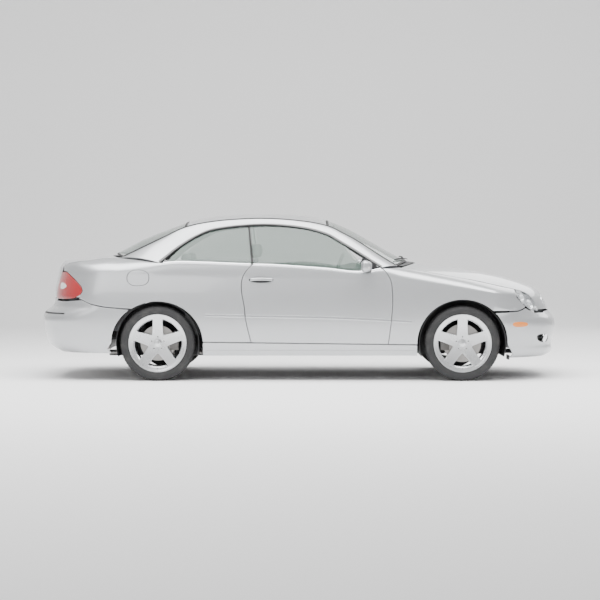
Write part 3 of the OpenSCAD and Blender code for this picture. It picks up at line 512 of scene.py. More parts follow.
@dataclass
class BodyLines:
    """The curves that the whole body is drawn from, the same as the frame's."""

    axle_front: float = 1427.0
    axle_rear: float = -1236.5
    axle_height: float = 330.0
    arch_reach: float = 392.0
    front_arch_top: float = 380.0
    rear_arch_top: float = 364.0
    low: float = 215.0
    half: float = 870.0
    belly: float = 560.0
    top: Curve = field(default_factory=lambda: Curve(
        (-1690, 1102), (-1465, 1227), (-1240, 1320), (-1005, 1404), (-808, 1445), (-600, 1466), (-338, 1472),
        (-100, 1471), (20, 1463), (130, 1445), (241, 1417), (427, 1345), (613, 1245), (799, 1137),
        (985, 1040)))
    nose: Curve = field(default_factory=lambda: Curve(
        (185, 2211), (218, 2286), (256, 2300), (312, 2296), (406, 2318), (509, 2323), (579, 2284),
        (640, 2262),
        (708, 2229), (850, 2190)))
    tail: Curve = field(default_factory=lambda: Curve(
        (229, -2150), (274, -2234), (313, -2273), (381, -2297), (477, -2313), (540, -2323), (577, -2318),
        (603, -2302), (635, -2259), (682, -2236), (754, -2240), (880, -2215), (993, -2189), (1030, -2180)))
    door_rear: Curve = field(default_factory=lambda: Curve(
        (338, -420), (478, -454), (561, -470), (655, -479), (763, -500), (846, -504), (913, -491),
        (963, -462),
        (1012, -413), (1050, -380)))
    door_front: Curve = field(default_factory=lambda: Curve(
        (310, 777), (420, 792), (535, 805), (664, 816), (788, 814), (872, 802), (942, 765), (986, 723),
        (1030, 690)))
    rim: Curve = field(default_factory=lambda: Curve(
        (-2110, 430, 1008), (-2067, 500, 1022), (-1968, 590, 1043), (-1858, 604, 1056), (-1700, 606, 1077),
        (-1586, 600, 1077), (-1400, 702, 1058), (-1220, 786, 1034), (-1036, 797, 1042), (-454, 803, 1021),
        (-204, 804, 1013), (269, 808, 979), (464, 811, 956), (600, 808, 960), (723, 795, 984),
        (816, 752, 990),
        (902, 694, 992), (1245, 682, 933), (1516, 666, 884), (1786, 636, 825), (1932, 590, 793),
        (2010, 540, 770)))
    shoulder: Curve = field(default_factory=lambda: Curve(
        (-2110, 975), (-2067, 962), (-1900, 938), (-1236, 935), (-400, 925), (681, 913), (1097, 859),
        (1500, 800),
        (1900, 735), (2010, 700)))
    sill: Curve = field(default_factory=lambda: Curve((-900, 341), (-841, 340), (1026, 317), (1100, 316)))
    roof_edge: Curve = field(default_factory=lambda: Curve(
        (0, 862, 700, 1005), (1, 727, 660, 1086), (2, 548, 610, 1205), (3, 400, 582, 1288),
        (4, 243, 562, 1361),
        (5, 2, 560, 1404), (6, -338, 565, 1425), (7, -720, 562, 1404), (8, -1000, 560, 1352),
        (9, -1200, 566, 1262),
        (10, -1400, 578, 1166), (11, -1586, 595, 1077)))
    window_edge: Curve = field(default_factory=lambda: Curve(
        (0, 724, 785, 993), (1, 600, 748, 1070), (2, 470, 706, 1152), (3, 352, 668, 1222),
        (4, 230, 640, 1288),
        (5, 0, 618, 1345), (6, -337, 610, 1365), (7, -717, 622, 1331), (8, -887, 645, 1272),
        (9, -1056, 692, 1170),
        (10, -1160, 740, 1085), (11, -1221, 784, 1033)))
    spine: Curve = field(default_factory=lambda: Curve((0, 985), (4, 241), (6, -338), (8, -1005),
            (11, -1690)))
    hood: Curve = field(default_factory=lambda: Curve(
        (0, 905, 690, 991, 1062, 1030), (1, 1000, 688, 976, 1130, 1019), (2, 1130, 684, 953, 1230, 1008),
        (3, 1350, 676, 913, 1400, 984), (4, 1560, 663, 876, 1580, 955), (5, 1760, 640, 831, 1770, 920),
        (6, 1900, 600, 800, 1930, 880), (7, 1975, 560, 781, 2050, 842), (8, 2040, 530, 748, 2140, 803),
        (9, 2085, 502, 700, 2205, 745), (10, 2110, 480, 655, 2245, 680), (11, 2125, 462, 612, 2272, 612)))
    lid: Curve = field(default_factory=lambda: Curve(
        (0, -1604, 598, 1077, -1708, 1098), (1, -1730, 602, 1074, -1790, 1088),
        (2, -1858, 602, 1056, -1870, 1077),
        (3, -1968, 588, 1043, -1985, 1064), (4, -2050, 525, 1027, -2090, 1051),
        (5, -2105, 450, 1009, -2148, 1045),
        (6, -2124, 440, 965, -2190, 995), (7, -2144, 440, 885, -2215, 885), (8, -2160, 440, 800, -2236, 790),
        (9, -2163, 440, 722, -2236, 722)))
    headlamp: tuple[Point, ...] = ((1901, 796), (1909, 734), (1952, 690), (1998, 645), (2069, 601),
            (2083, 613),
            (2118, 596), (2124, 640), (2100, 668), (2078, 707), (2024, 760), (1994, 750),
            (1954, 787))
    tail_lamp: tuple[Point, ...] = ((-2067, 951), (-2020, 918), (-1973, 883), (-1910, 823), (-1899, 785),
            (-1923, 747), (-1982, 717), (-2070, 708))
    rear_seam: tuple[Point, ...] = ((-1493, 629), (-1672, 643), (-1822, 671), (-1905, 708), (-1982, 702),
            (-2070, 694))

    def flank(self, z: float) -> float:
        """Half the body's width at a height, before the ends round it in."""
        if z > self.belly:
            return self.half - 70 * ((z - self.belly) / 460) ** 2.2
        return self.half - 55 * ((self.belly - z) / 345) ** 2

    def squareness(self, z: float, nose: bool) -> tuple[float, float]:
        """How an end rounds in plan.

        Args:
            z: The height.
            nose: Whether it is the nose and not the tail.

        Returns:
            The length that is rounded and the power of the round.
        """
        share = max(0.0, min(1.0, (z - 540) / 100))
        if nose:
            return mix(850, 524, share), mix(2.6, 1.6, share)
        return mix(600, 560, share), mix(3, 2.2, share)

    def side_y(self, x: float, z: float) -> float:
        """Half the body's width at a place along it and a height."""
        width = self.flank(z)
        for nose in (True, False):
            depth, power = self.squareness(z, nose)
            into = self.nose.at(z) - x if nose else x - self.tail.at(z)
            if into <= 0:
                return 0.0
            if into < depth:
                width *= (1 - (1 - into / depth) ** power) ** (1 / power)
        return width


LINES = BodyLines()


class Surface:
    """A smooth surface over two parameters, in millimetres."""

    stretch: Point = (1.0, 1.0)

    def point(self, u: float, v: float) -> np.ndarray:
        """The point at two parameters."""
        raise NotImplementedError

    def normal(self, u: float, v: float) -> np.ndarray:
        """The direction straight off the surface, away from the car's middle."""
        du, dv = 2 / self.stretch[0], 2 / self.stretch[1]
        across = np.cross(self.point(u + du, v) - self.point(u - du, v),
                self.point(u, v + dv) - self.point(u, v - dv))
        size = float(np.linalg.norm(across))
        across = across / size if size > 1e-9 else np.array((0.0, 0.0, 1.0))
        here = self.point(u, v)
        middle = np.array((min(1500.0, max(-1400.0, here[0])), 0.0, 560.0))
        return across if float(np.dot(across, here - middle)) > 0 else -across

    def solve(self, start: Point, target: Callable[[np.ndarray], Point]) -> Point:
        """Finds the parameters where two measures of the point are both nought.

        Args:
            start: Where to start from.
            target: The two measures of a point.

        Returns:
            The parameters.
        """
        u, v = start
        du, dv = 1 / self.stretch[0], 1 / self.stretch[1]
        for _ in range(14):
            e = np.array(target(self.point(u, v)))
            if abs(e).max() < 0.01:
                break
            a = (np.array(target(self.point(u + du, v))) - e) / du
            b = (np.array(target(self.point(u, v + dv))) - e) / dv
            det = a[0] * b[1] - a[1] * b[0]
            if abs(det) < 1e-12:
                break
            u -= max(-60 * du, min(60 * du, (e[0] * b[1] - e[1] * b[0]) / det))
            v -= max(-60 * dv, min(60 * dv, (a[0] * e[1] - a[1] * e[0]) / det))
        return u, v


@dataclass
class Flank(Surface):
    """The body side: x along the car, and 0 to 1 up to the shoulder, then 1 to 2 over it."""

    side: Side
    stretch: Point = (1.0, 560.0)

    def point(self, u: float, v: float) -> np.ndarray:
        """The point at a place along the car and a share of the height."""
        zs = LINES.shoulder.at(u)
        if v <= 1:
            z = mix(LINES.low, zs, v)
            return np.array((u, self.side.value * LINES.side_y(u, z), z))
        ys = LINES.side_y(u, zs)
        yt, zt, t = min(LINES.rim.at(u), ys - 4), LINES.rim.at(u, 2), v - 1
        ym, zm = ys - 0.08 * (ys - yt), max(zt - 0.15 * (ys - yt), zs)
        y = ys * (1 - t) ** 2 + 2 * ym * t * (1 - t) + yt * t * t
        return np.array((u, self.side.value * y, zs * (1 - t) ** 2 + 2 * zm * t * (1 - t) + zt * t * t))

    def seen(self, x: float, z: float) -> Point:
        """The parameters of the point seen at x and z from the side."""
        zs, zt = LINES.shoulder.at(x), LINES.rim.at(x, 2)
        if z <= zs:
            return x, (z - LINES.low) / (zs - LINES.low)
        low, high = 1.0, 2.0
        if z >= zt:
            return x, 2.0
        for _ in range(24):
            half = (low + high) / 2
            low, high = (half, high) if self.point(x, half)[2] < z else (low, half)
        return x, low


@dataclass
class EndShell(Surface):
    """The nose or the tail: the plan angle in degrees and the height."""

    nose: bool
    stretch: Point = (13.0, 1.0)
    straight: float = 36.0

    def point(self, u: float, v: float) -> np.ndarray:
        """The point at a plan angle and a height."""
        depth, power = LINES.squareness(v, self.nose)
        beyond = max(0.0, abs(u) - 90)
        c = max(0.0, math.cos(math.radians(u))) if not beyond else 0.0
        s = 1.0 if beyond else abs(math.sin(math.radians(u)))
        back = depth * (1 - c ** (2 / power)) + self.straight * beyond
        x = LINES.nose.at(v) - back if self.nose else LINES.tail.at(v) + back
        return np.array((x, math.copysign(LINES.flank(v) * s ** (2 / power), u), v))

    def seen(self, x: float, z: float, side: Side) -> Point:
        """The parameters of the point seen at x and z from the side."""
        depth, power = LINES.squareness(z, self.nose)
        back = LINES.nose.at(z) - x if self.nose else x - LINES.tail.at(z)
        if back >= depth:
            return side.value * (90 + (back - depth) / self.straight), z
        share = max(0.0, 1 - max(0.0, back) / depth)
        return side.value * math.degrees(math.acos(share ** (power / 2))), z

    def met(self, y: float, z: float) -> Point:
        """The parameters of the point seen at y and z from the end."""
        power = LINES.squareness(z, self.nose)[1]
        share = min(1.0, abs(y) / LINES.flank(z))
        return math.copysign(math.degrees(math.asin(share ** (power / 2))), y), z


@dataclass
class Deck(Surface):
    """The hood or the trunk lid: station back to front or front to back, and -1 to 1 across."""

    rows: Curve
    stretch: Point
    gap: float = 6.0

    def point(self, u: float, v: float) -> np.ndarray:
        """The point at a station and a share across."""
        ex, ey, ez, cx, cz = (self.rows.at(u, k) for k in range(1, 6))
        c = 1 - v * v
        return np.array((mix(ex, cx, c), v * (ey - self.gap), mix(ez, cz, c)))


@dataclass
class Canopy(Surface):
    """Windshield, roof and rear window: station front to back, and -1 to 1 across."""

    stretch: Point = (230.0, 600.0)

    def point(self, u: float, v: float) -> np.ndarray:
        """The point at a station and a share across."""
        ex, ey, ez = (LINES.roof_edge.at(u, k) for k in (1, 2, 3))
        cx = LINES.spine.at(u)
        c = 1 - v * v
        return np.array((mix(ex, cx, c), v * ey, mix(ez, LINES.top.at(cx), c)))


@dataclass
class Rail(Surface):
    """The strip between the roof and the side windows: station, and 0 to 1 down it."""

    side: Side
    stretch: Point = (200.0, 90.0)
    bulge: float = 0.07

    def point(self, u: float, v: float) -> np.ndarray:
        """The point at a station and a share down the strip."""
        e = np.array([LINES.roof_edge.at(u, k) for k in (1, 2, 3)])
        w = np.array([LINES.window_edge.at(u, k) for k in (1, 2, 3)])
        out = 4 * v * (1 - v) * float(np.linalg.norm(e - w)) * self.bulge
        p = e + (w - e) * v + out * np.array((0, 0.7, 0.7))
        return p * np.array((1, self.side.value, 1))


@dataclass
class SideWindow(Surface):
    """Side glass: x along the car, and 0 to 1 from the belt to the top."""

    side: Side
    stretch: Point = (1.0, 320.0)
    inset: float = 14.0
    bow: float = 14.0

    def point(self, u: float, v: float) -> np.ndarray:
        """The point at a place along the car and a share of the height."""
        zb, yb = LINES.rim.at(u, 2) + 2, LINES.rim.at(u) - self.inset
        zt, yt = WINDOW_TOP.at(u, 2) - 12, WINDOW_TOP.at(u) - 2
        y = mix(yb, yt, v) + self.bow * v * (1 - v)
        return np.array((u, self.side.value * y, mix(zb, max(zt, zb + 4), v)))


WINDOW_TOP = Curve(*[tuple(row[1:]) for row in reversed(LINES.window_edge.rows)])


# ---------------------------------------------------------------- Meshes


def inside(points: np.ndarray, ring: np.ndarray) -> np.ndarray:
    """Which points lie in a ring.

    Args:
        points: Points in the plane, one a row.
        ring: The ring's corners, one a row.

    Returns:
        True for each point that is inside.
    """
    a, b = ring, np.roll(ring, -1, axis=0)
    x, y = points[:, :1], points[:, 1:]
    spans = (a[:, 1] > y) != (b[:, 1] > y)
    rise = np.where(abs(b[:, 1] - a[:, 1]) < 1e-12, 1e-12, b[:, 1] - a[:, 1])
    return (spans & (x < a[:, 0] + (y - a[:, 1]) / rise * (b[:, 0] - a[:, 0]))).sum(axis=1) % 2 == 1


def nearness(points: np.ndarray, ring: np.ndarray) -> np.ndarray:
    """The distance from each point to the nearest side of a ring."""
    a, b = ring[None], np.roll(ring, -1, axis=0)[None]
    p = points[:, None]
    along = np.clip(((p - a) * (b - a)).sum(-1) / np.maximum(((b - a) ** 2).sum(-1), 1e-12), 0, 1)[..., None]
    return np.sqrt(((p - a - along * (b - a)) ** 2).sum(-1)).min(axis=1)


def densify(ring: Sequence[Point], step: float, closed: bool = True) -> list[Point]:
    """The same line with corners no more than a step apart."""
    made: list[Point] = []
    ends = zip(ring, [*ring[1:], ring[0]] if closed else ring[1:])
    for a, b in ends:
        count = max(1, math.ceil(math.dist(a, b) / step))
        made += [(mix(a[0], b[0], i / count), mix(a[1], b[1], i / count)) for i in range(count)]
    return made if closed else [*made, ring[-1]]


def smooth(ring: Sequence[Point], rounds: int = 2, closed: bool = True) -> list[Point]:
    """Rounds a line's corners by cutting them."""
    points = list(ring)
    for _ in range(rounds):
        pairs = list(zip(points, [*points[1:], points[0]] if closed else points[1:]))
        cut = [(mix(a[0], b[0], t), mix(a[1], b[1], t)) for a, b in pairs for t in (0.25, 0.75)]
        points = cut if closed else [points[0], *cut[1:-1], points[-1]]
    return points


def grown(ring: Sequence[Point], distance: float) -> list[Point]:
    """A ring moved outwards by a distance, or inwards if it is below nought."""
    p = np.array(ring, float)
    turn = np.sign((p[:, 0] * np.roll(p[:, 1], -1) - np.roll(p[:, 0], -1) * p[:, 1]).sum())
    back, ahead = p - np.roll(p, 1, axis=0), np.roll(p, -1, axis=0) - p
    back /= np.maximum(np.linalg.norm(back, axis=1, keepdims=True), 1e-9)
    ahead /= np.maximum(np.linalg.norm(ahead, axis=1, keepdims=True), 1e-9)
    out = np.stack((back[:, 1] + ahead[:, 1], -back[:, 0] - ahead[:, 0]), axis=1) * turn / 2
    out /= np.maximum((out ** 2).sum(axis=1, keepdims=True), 0.3)
    return [tuple(q) for q in p + out * distance]


def make(name: str, points: Sequence, faces: Sequence, material: bpy.types.Material,
        normals: Sequence | None = None,
        scale: float = MM, angle: float = 40.0) -> bpy.types.Object:
    """Makes a piece from points and faces.

    Args:
        name: The piece's name.
        points: Its points.
        faces: Its faces, as numbers of points.
        material: Its finish.
        normals: A normal for each corner of each face, or None to shade by angle.
        scale: Metres in one unit of the points.
        angle: The angle past which an edge stays sharp, in degrees.

    Returns:
        The piece.
    """
    mesh = bpy.data.meshes.new(name)
    mesh.from_pydata([tuple(float(c) * scale for c in p) for p in points], [], [tuple(f) for f in faces])
    mesh.materials.append(material)
    piece = bpy.data.objects.new(name, mesh)
    bpy.context.scene.collection.objects.link(piece)
    if normals is None:
        turn_outwards(mesh)
        mesh.set_sharp_from_angle(angle=math.radians(angle))
        mesh.polygons.foreach_set("use_smooth", [True] * len(mesh.polygons))
    else:
        mesh.polygons.foreach_set("use_smooth", [True] * len(mesh.polygons))
        mesh.normals_split_custom_set([tuple(float(c) for c in n) for n in normals])
    mesh.update()
    return piece


def turn_outwards(mesh: bpy.types.Mesh) -> None:
    """Turns every face of a mesh the right way out."""
    work = bmesh.new()
    work.from_mesh(mesh)
    bmesh.ops.recalc_face_normals(work, faces=work.faces)
    work.to_mesh(mesh)
    work.free()


def joined(name: str, pieces: Iterable[bpy.types.Object]) -> bpy.types.Object:
    """Joins several pieces into one.

    Args:
        name: The joined piece's name.
        pieces: What is joined.

    Returns:
        The one piece.
    """
    several = list(pieces)
    with bpy.context.temp_override(active_object=several[0], selected_editable_objects=several):
        bpy.ops.object.join()
    several[0].name = several[0].data.name = name
    return several[0]


def orient(points: np.ndarray, normals: np.ndarray, faces: Sequence[Sequence[int]]) -> list[tuple[int, ...]]:
    """Turns triangles so that each faces the way its points' normals do."""
    made = []
    for a, b, c in faces:
        facing = np.dot(np.cross(points[b] - points[a], points[c] - points[a]),
                normals[a] + normals[b] + normals[c])
        made.append((a, b, c) if facing > 0 else (a, c, b))
    return made


class Panel:
    """A sheet cut to an outline on a surface, with rounded edges and an inner face."""

    def __init__(self, surface: Surface, outline: Sequence[Point], holes: Sequence[Sequence[Point]] = (),
            spacing: float = 38.0, edge_step: float = 16.0) -> None:
        """Cuts the outline and its holes.

        Args:
            surface: What the sheet follows.
            outline: The outline, in the surface's parameters.
            holes: Rings cut out of it.
            spacing: Distance between the points inside.
            edge_step: Distance between the points along an edge.
        """
        self.surface = surface
        su, sv = surface.stretch
        rings = [np.array(densify([(u * su, v * sv) for u, v in ring], edge_step))
                for ring in (outline, *holes)]
        low, high = rings[0].min(0), rings[0].max(0)
        rows = np.arange(low[1], high[1], spacing * 0.87)
        grid = np.array([(x + (spacing / 2 if i % 2 else 0), y) for i, y in enumerate(rows)
                for x in np.arange(low[0], high[0], spacing)])
        keep = inside(grid, rings[0])
        for ring in rings[1:]:
            keep &= ~inside(grid, ring)
        grid = grid[keep]
        for ring in rings:
            if len(grid):
                grid = grid[nearness(grid, ring) > spacing * 0.42]
        points = [tuple(p) for ring in rings for p in ring] + [tuple(p) for p in grid]
        edges, start = [], 0
        for ring in rings:
            edges += [(start + i, start + (i + 1) % len(ring)) for i in range(len(ring))]
            start += len(ring)
        flat, _, faces, *_ = delaunay_2d_cdt([Vector(p) for p in points], edges, [], 0, 1e-5)
        flat = np.array([tuple(p) for p in flat])
        middles = np.array([flat[list(f)].mean(0) for f in faces])
        keep = inside(middles, rings[0])
        for ring in rings[1:]:
            keep &= ~inside(middles, ring)
        self.points = np.array([surface.point(u / su, v / sv) for u, v in flat])
        self.normals = np.array([surface.normal(u / su, v / sv) for u, v in flat])
        self.faces = orient(self.points, self.normals, [f for f, k in zip(faces, keep) if k and len(f) == 3])

    def border(self) -> dict[int, int]:
        """The border's edges, each from a point to the next with the sheet on its left."""
        sides = {(f[i], f[(i + 1) % 3]) for f in self.faces for i in range(3)}
        return {a: b for a, b in sides if (b, a) not in sides}

    def build(self, name: str, material: bpy.types.Material, thickness: float = 1.2, edge: float = 2.5,
            lift: float = 0.0) -> bpy.types.Object:
        """Makes the sheet a closed solid.

        Args:
            name: The piece's name.
            material: Its finish.
            thickness: From the outer face to the inner one, past the edge's round.
            edge: Radius of the edge's round.
            lift: How far the sheet stands off its surface.

        Returns:
            The piece.
        """
        out = self.points + self.normals * lift
        follow = self.border()
        before = {b: a for a, b in follow.items()}
        points, count = list(out), len(out)
        depth = edge + thickness
        points += list(out - self.normals * depth)
        ring: dict[tuple[int, int], int] = {}
        outward: dict[int, np.ndarray] = {}
        for i in follow:
            ahead = out[follow[i]] - out[before.get(i, i)]
            away = np.cross(ahead, self.normals[i])
            outward[i] = away / max(float(np.linalg.norm(away)), 1e-9)
        turns = (45.0, 90.0)
        for i, away in outward.items():
            for k, turn in enumerate(turns):
                s, c = math.sin(math.radians(turn)), math.cos(math.radians(turn))
                ring[i, k] = len(points)
                points.append(out[i] + away * edge * s - self.normals[i] * edge * (1 - c))
            points[i + count] = out[i] + away * edge - self.normals[i] * depth
        faces, corners = [], []
        for f in self.faces:
            faces.append(f)
            corners += [self.normals[i] for i in f]
            faces.append(tuple(i + count for i in reversed(f)))
            corners += [-self.normals[i] for i in reversed(f)]
        for a, b in follow.items():
            if b not in outward:
                continue
            levels = [(a, b)] + [(ring[a, k], ring[b, k]) for k in range(len(turns))] + [(a + count,
                    b + count)]
            tilts = (0.0, *turns, 90.0)
            for (p, q), (r, s), t0, t1 in zip(levels, levels[1:], tilts, tilts[1:]):
                faces.append((p, r, s, q))
                for i, t in ((a, t0), (a, t1), (b, t1), (b, t0)):
                    turn = math.radians(t)
                    corners.append(self.normals[i] * math.cos(turn) + outward[i] * math.sin(turn))
        return make(name, points, faces, material, corners)


def path_frames(points: np.ndarray, ups: np.ndarray, closed: bool) -> tuple[np.ndarray, np.ndarray]:
    """The two directions across a path at each of its points.

    Args:
        points: The path.
        ups: A direction at each point that one of them follows.
        closed: Whether the path closes.

    Returns:
        The sideways and the upward directions.
    """
    if closed:
        ahead = np.roll(points, -1, axis=0) - np.roll(points, 1, axis=0)
    else:
        ahead = np.gradient(points, axis=0)
    ahead /= np.maximum(np.linalg.norm(ahead, axis=1, keepdims=True), 1e-9)
    sideways = np.cross(ahead, ups)
    sideways /= np.maximum(np.linalg.norm(sideways, axis=1, keepdims=True), 1e-9)
    return sideways, np.cross(sideways, ahead)


def swept(name: str, points: Sequence, ups: Sequence, section: Sequence[Point], material: bpy.types.Material,
        closed: bool = False, taper: float = 1.0) -> bpy.types.Object:
    """Sweeps a closed section along a path.

    Args:
        name: The piece's name.
        points: The path.
        ups: The section's upward direction at each point.
        section: The section, sideways and up.
        material: Its finish.
        closed: Whether the path closes.
        taper: The section's size at the far end, as a share of the first.

    Returns:
        The piece.
    """
    line, n = np.array(points, float), len(section)
    sideways, up = path_frames(line, np.array(ups, float), closed)
    made, count = [], len(line)
    for i in range(count):
        size = mix(1, taper, i / max(1, count - 1))
        made += [line[i] + sideways[i] * a * size + up[i] * b * size for a, b in section]
    faces = [(i * n + j, i * n + (j + 1) % n, (i + 1) % count * n + (j + 1) % n, (i + 1) % count * n + j)
            for i in range(count if closed else count - 1) for j in range(n)]
    if not closed:
        faces += [tuple(range(n)), tuple(range((count - 1) * n, count * n))]
    return make(name, made, faces, material)


def circle(radius: float, sides: int = 12) -> list[Point]:
    """A round section."""
    return [(radius * math.cos(math.tau * i / sides), radius * math.sin(math.tau * i / sides))
            for i in range(sides)]


def bar(width: float, height: float, crown: float = 0.35) -> list[Point]:
    """A flat-backed section with a crowned top."""
    arc = [(width / 2 * math.cos(math.pi * i / 8), height * (1 - crown + crown * math.sin(math.pi * i / 8)))
           for i in range(9)]
    return [(width / 2, 0), *arc, (-width / 2, 0)]


def lathe(name: str, profile: Sequence[Point], centre: Sequence[float], material: bpy.types.Material,
        segments: int = 96, closed: bool = True, shape: Callable[[float, float, float], float] | None = None,
        side: int = 1) -> bpy.types.Object:
    """Turns a profile about a line along Y.

    Args:
        name: The piece's name.
        profile: Radius, and distance out along the line.
        centre: The line's middle.
        material: The finish.
        segments: How many steps there are round.
        closed: Whether the profile's ends meet.
        shape: Changes the radius, from the radius, the distance and the angle.
        side: Which way out is.

    Returns:
        The piece.
    """
    points, n = [], len(profile)
    for i in range(segments):
        a = math.tau * i / segments
        for r, y in profile:
            q = shape(r, y, a) if shape else r
            points.append((centre[0] + q * math.cos(a), centre[1] + side * y, centre[2] + q * math.sin(a)))
    faces = [(i * n + j, i * n + (j + 1) % n, (i + 1) % segments * n + (j + 1) % n,
            (i + 1) % segments * n + j)
            for i in range(segments) for j in range(n if closed else n - 1)]
    return make(name, points, faces, material, angle=35)


def block(name: str, low: Sequence[float], high: Sequence[float], material: bpy.types.Material,
        radius: float = 6.0, cuts: int = 3) -> bpy.types.Object:
    """A box with rounded edges.

    Args:
        name: The piece's name.
        low: Its lowest corner.
        high: Its highest corner.
        material: Its finish.
        radius: Radius of its edges.
        cuts: Steps round an edge.

    Returns:
        The piece.
    """
    work = bmesh.new()
    bmesh.ops.create_cube(work, size=1)
    middle, size = [(a + b) / 2 for a, b in zip(low, high)], [b - a for a, b in zip(low, high)]
    for vert in work.verts:
        vert.co = [(m + c * s) * MM for m, c, s in zip(middle, vert.co, size)]
    bmesh.ops.bevel(work, geom=work.edges[:], offset=radius * MM, segments=cuts, affect="EDGES", profile=0.5)
    points, faces = [tuple(v.co) for v in work.verts], [tuple(v.index for v in f.verts) for f in work.faces]
    work.free()
    return make(name, points, faces, material, scale=1.0, angle=50)


def prism(name: str, outline: Sequence[Point], y0: float, y1: float, material: bpy.types.Material,
        radius: float = 4.0) -> bpy.types.Object:
    """An outline in the side view carried across the car, with rounded edges.

    Args:
        name: The piece's name.
        outline: The outline, along the car and up.
        y0: Where it starts across the car.
        y1: Where it ends.
        material: The finish.
        radius: Radius of its edges.

    Returns:
        The piece.
    """
    work = bmesh.new()
    near = [work.verts.new((x * MM, y0 * MM, z * MM)) for x, z in outline]
    far = [work.verts.new((x * MM, y1 * MM, z * MM)) for x, z in outline]
    n = len(outline)
    work.faces.new(near)
    work.faces.new(far[::-1])
    for i in range(n):
        work.faces.new((near[i], far[i], far[(i + 1) % n], near[(i + 1) % n]))
    bmesh.ops.recalc_face_normals(work, faces=work.faces)
    sharp = [e for e in work.edges if e.calc_face_angle(0) > math.radians(25)]
    bmesh.ops.bevel(work, geom=sharp, offset=radius * MM, segments=3, affect="EDGES", profile=0.5)
    work.verts.index_update()
    points, faces = [tuple(v.co) for v in work.verts], [tuple(v.index for v in f.verts) for f in work.faces]
    work.free()
    return make(name, points, faces, material, scale=1.0, angle=50)


def fit(piece: bpy.types.Object, body: str, slot: str, *nodes: str) -> bpy.types.Object:
    """Makes a piece ride on a body and stand for CAD nodes, which it hides.

    Args:
        piece: The piece.
        body: The body it rides on.
        slot: Not used.
        nodes: The CAD nodes that it replaces.

    Returns:
        The piece.
    """
    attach(piece, body)
    if nodes:
        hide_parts(*nodes)
    return piece


# ---------------------------------------------------------------- Body panels


@dataclass
class Seams:
    """Where the panels meet, as rings and lines seen from the side."""

    gap: float = 6.0
    edge: float = 2.5

    @property
    def inset(self) -> float:
        """How far a panel's flat stops short of the middle of its seam."""
        return self.gap / 2 + self.edge

    def arch(self, front: bool, z_from: float, z_to: float, steps_round: int = 40) -> list[Point]:
        """The wheel arch's line.

        Args:
            front: Whether it is the front arch.
            z_from: Height of the forward end.
            z_to: Height of the rearward end.
            steps_round: Points on the line.

        Returns:
            The line, from its forward end to its rearward end.
        """
        cx = LINES.axle_front if front else LINES.axle_rear
        a, b = LINES.arch_reach, LINES.front_arch_top if front else LINES.rear_arch_top
        start = math.asin(max(0.0, (z_from - LINES.axle_height) / b))
        end = math.pi - math.asin(max(0.0, (z_to - LINES.axle_height) / b))
        curve = [(cx + a * math.cos(mix(start, end, t)), LINES.axle_height + b * math.sin(mix(start, end, t)))
                for t in steps(steps_round)]
        first = [(cx + a, z_from)] if z_from < LINES.axle_height else []
        return first + curve + ([(cx - a, z_to)] if z_to < LINES.axle_height else [])

    def door_edge(self, rear: bool) -> list[Point]:
        """A door's upright edge, from the sill to the belt."""
        line = LINES.door_rear if rear else LINES.door_front
        low, high = (338.0, 1018.0) if rear else (321.0, 986.0)
        return [(line.at(mix(low, high, t)), mix(low, high, t)) for t in steps(24)]

    def belt(self, x0: float, x1: float, count: int = 24) -> list[Point]:
        """The body side's top edge between two places."""
        return [(mix(x0, x1, t), LINES.rim.at(mix(x0, x1, t), 2)) for t in steps(count)]

    def sill_line(self, x0: float, x1: float) -> list[Point]:
        """The top of the sill between two places."""
        return [(mix(x0, x1, t), LINES.sill.at(mix(x0, x1, t))) for t in steps(4)]

    def door(self) -> list[Point]:
        """A door's outline."""
        return self.door_edge(True) + self.belt(-405,
                720)[1:-1] + self.door_edge(False)[::-1] + self.sill_line(760, -400)

    def quarter(self) -> list[Point]:
        """A rear quarter panel's outline."""
        lamp = [(-2105, 953), *LINES.tail_lamp[:6], (-1932, 716)]
        seam = [(x, z) for x, z in LINES.rear_seam[::-1] if x > -1920 and x < -1500]
        return (self.door_edge(True) + self.belt(-420, -2105)[1:] + lamp + seam
                + self.arch(False, 341, 629)[::-1] + self.sill_line(-835, -430))

    def fender(self) -> list[Point]:
        """A front fender's outline."""
        lamp = [LINES.headlamp[0], *LINES.headlamp[1:4]]
        return (self.door_edge(False) + self.belt(735, 1895)[1:] + lamp + [(1985, 634), (1918, 610)]
                + self.arch(True, 610, 318) + self.sill_line(1020, 790))


SEAMS = Seams()


def on_flank(surface: Flank, ring: Sequence[Point], inset: float) -> list[Point]:
    """A ring seen from the side, moved in and laid on a body side."""
    return [surface.seen(x, z) for x, z in grown(densify(ring, 20), -inset)]


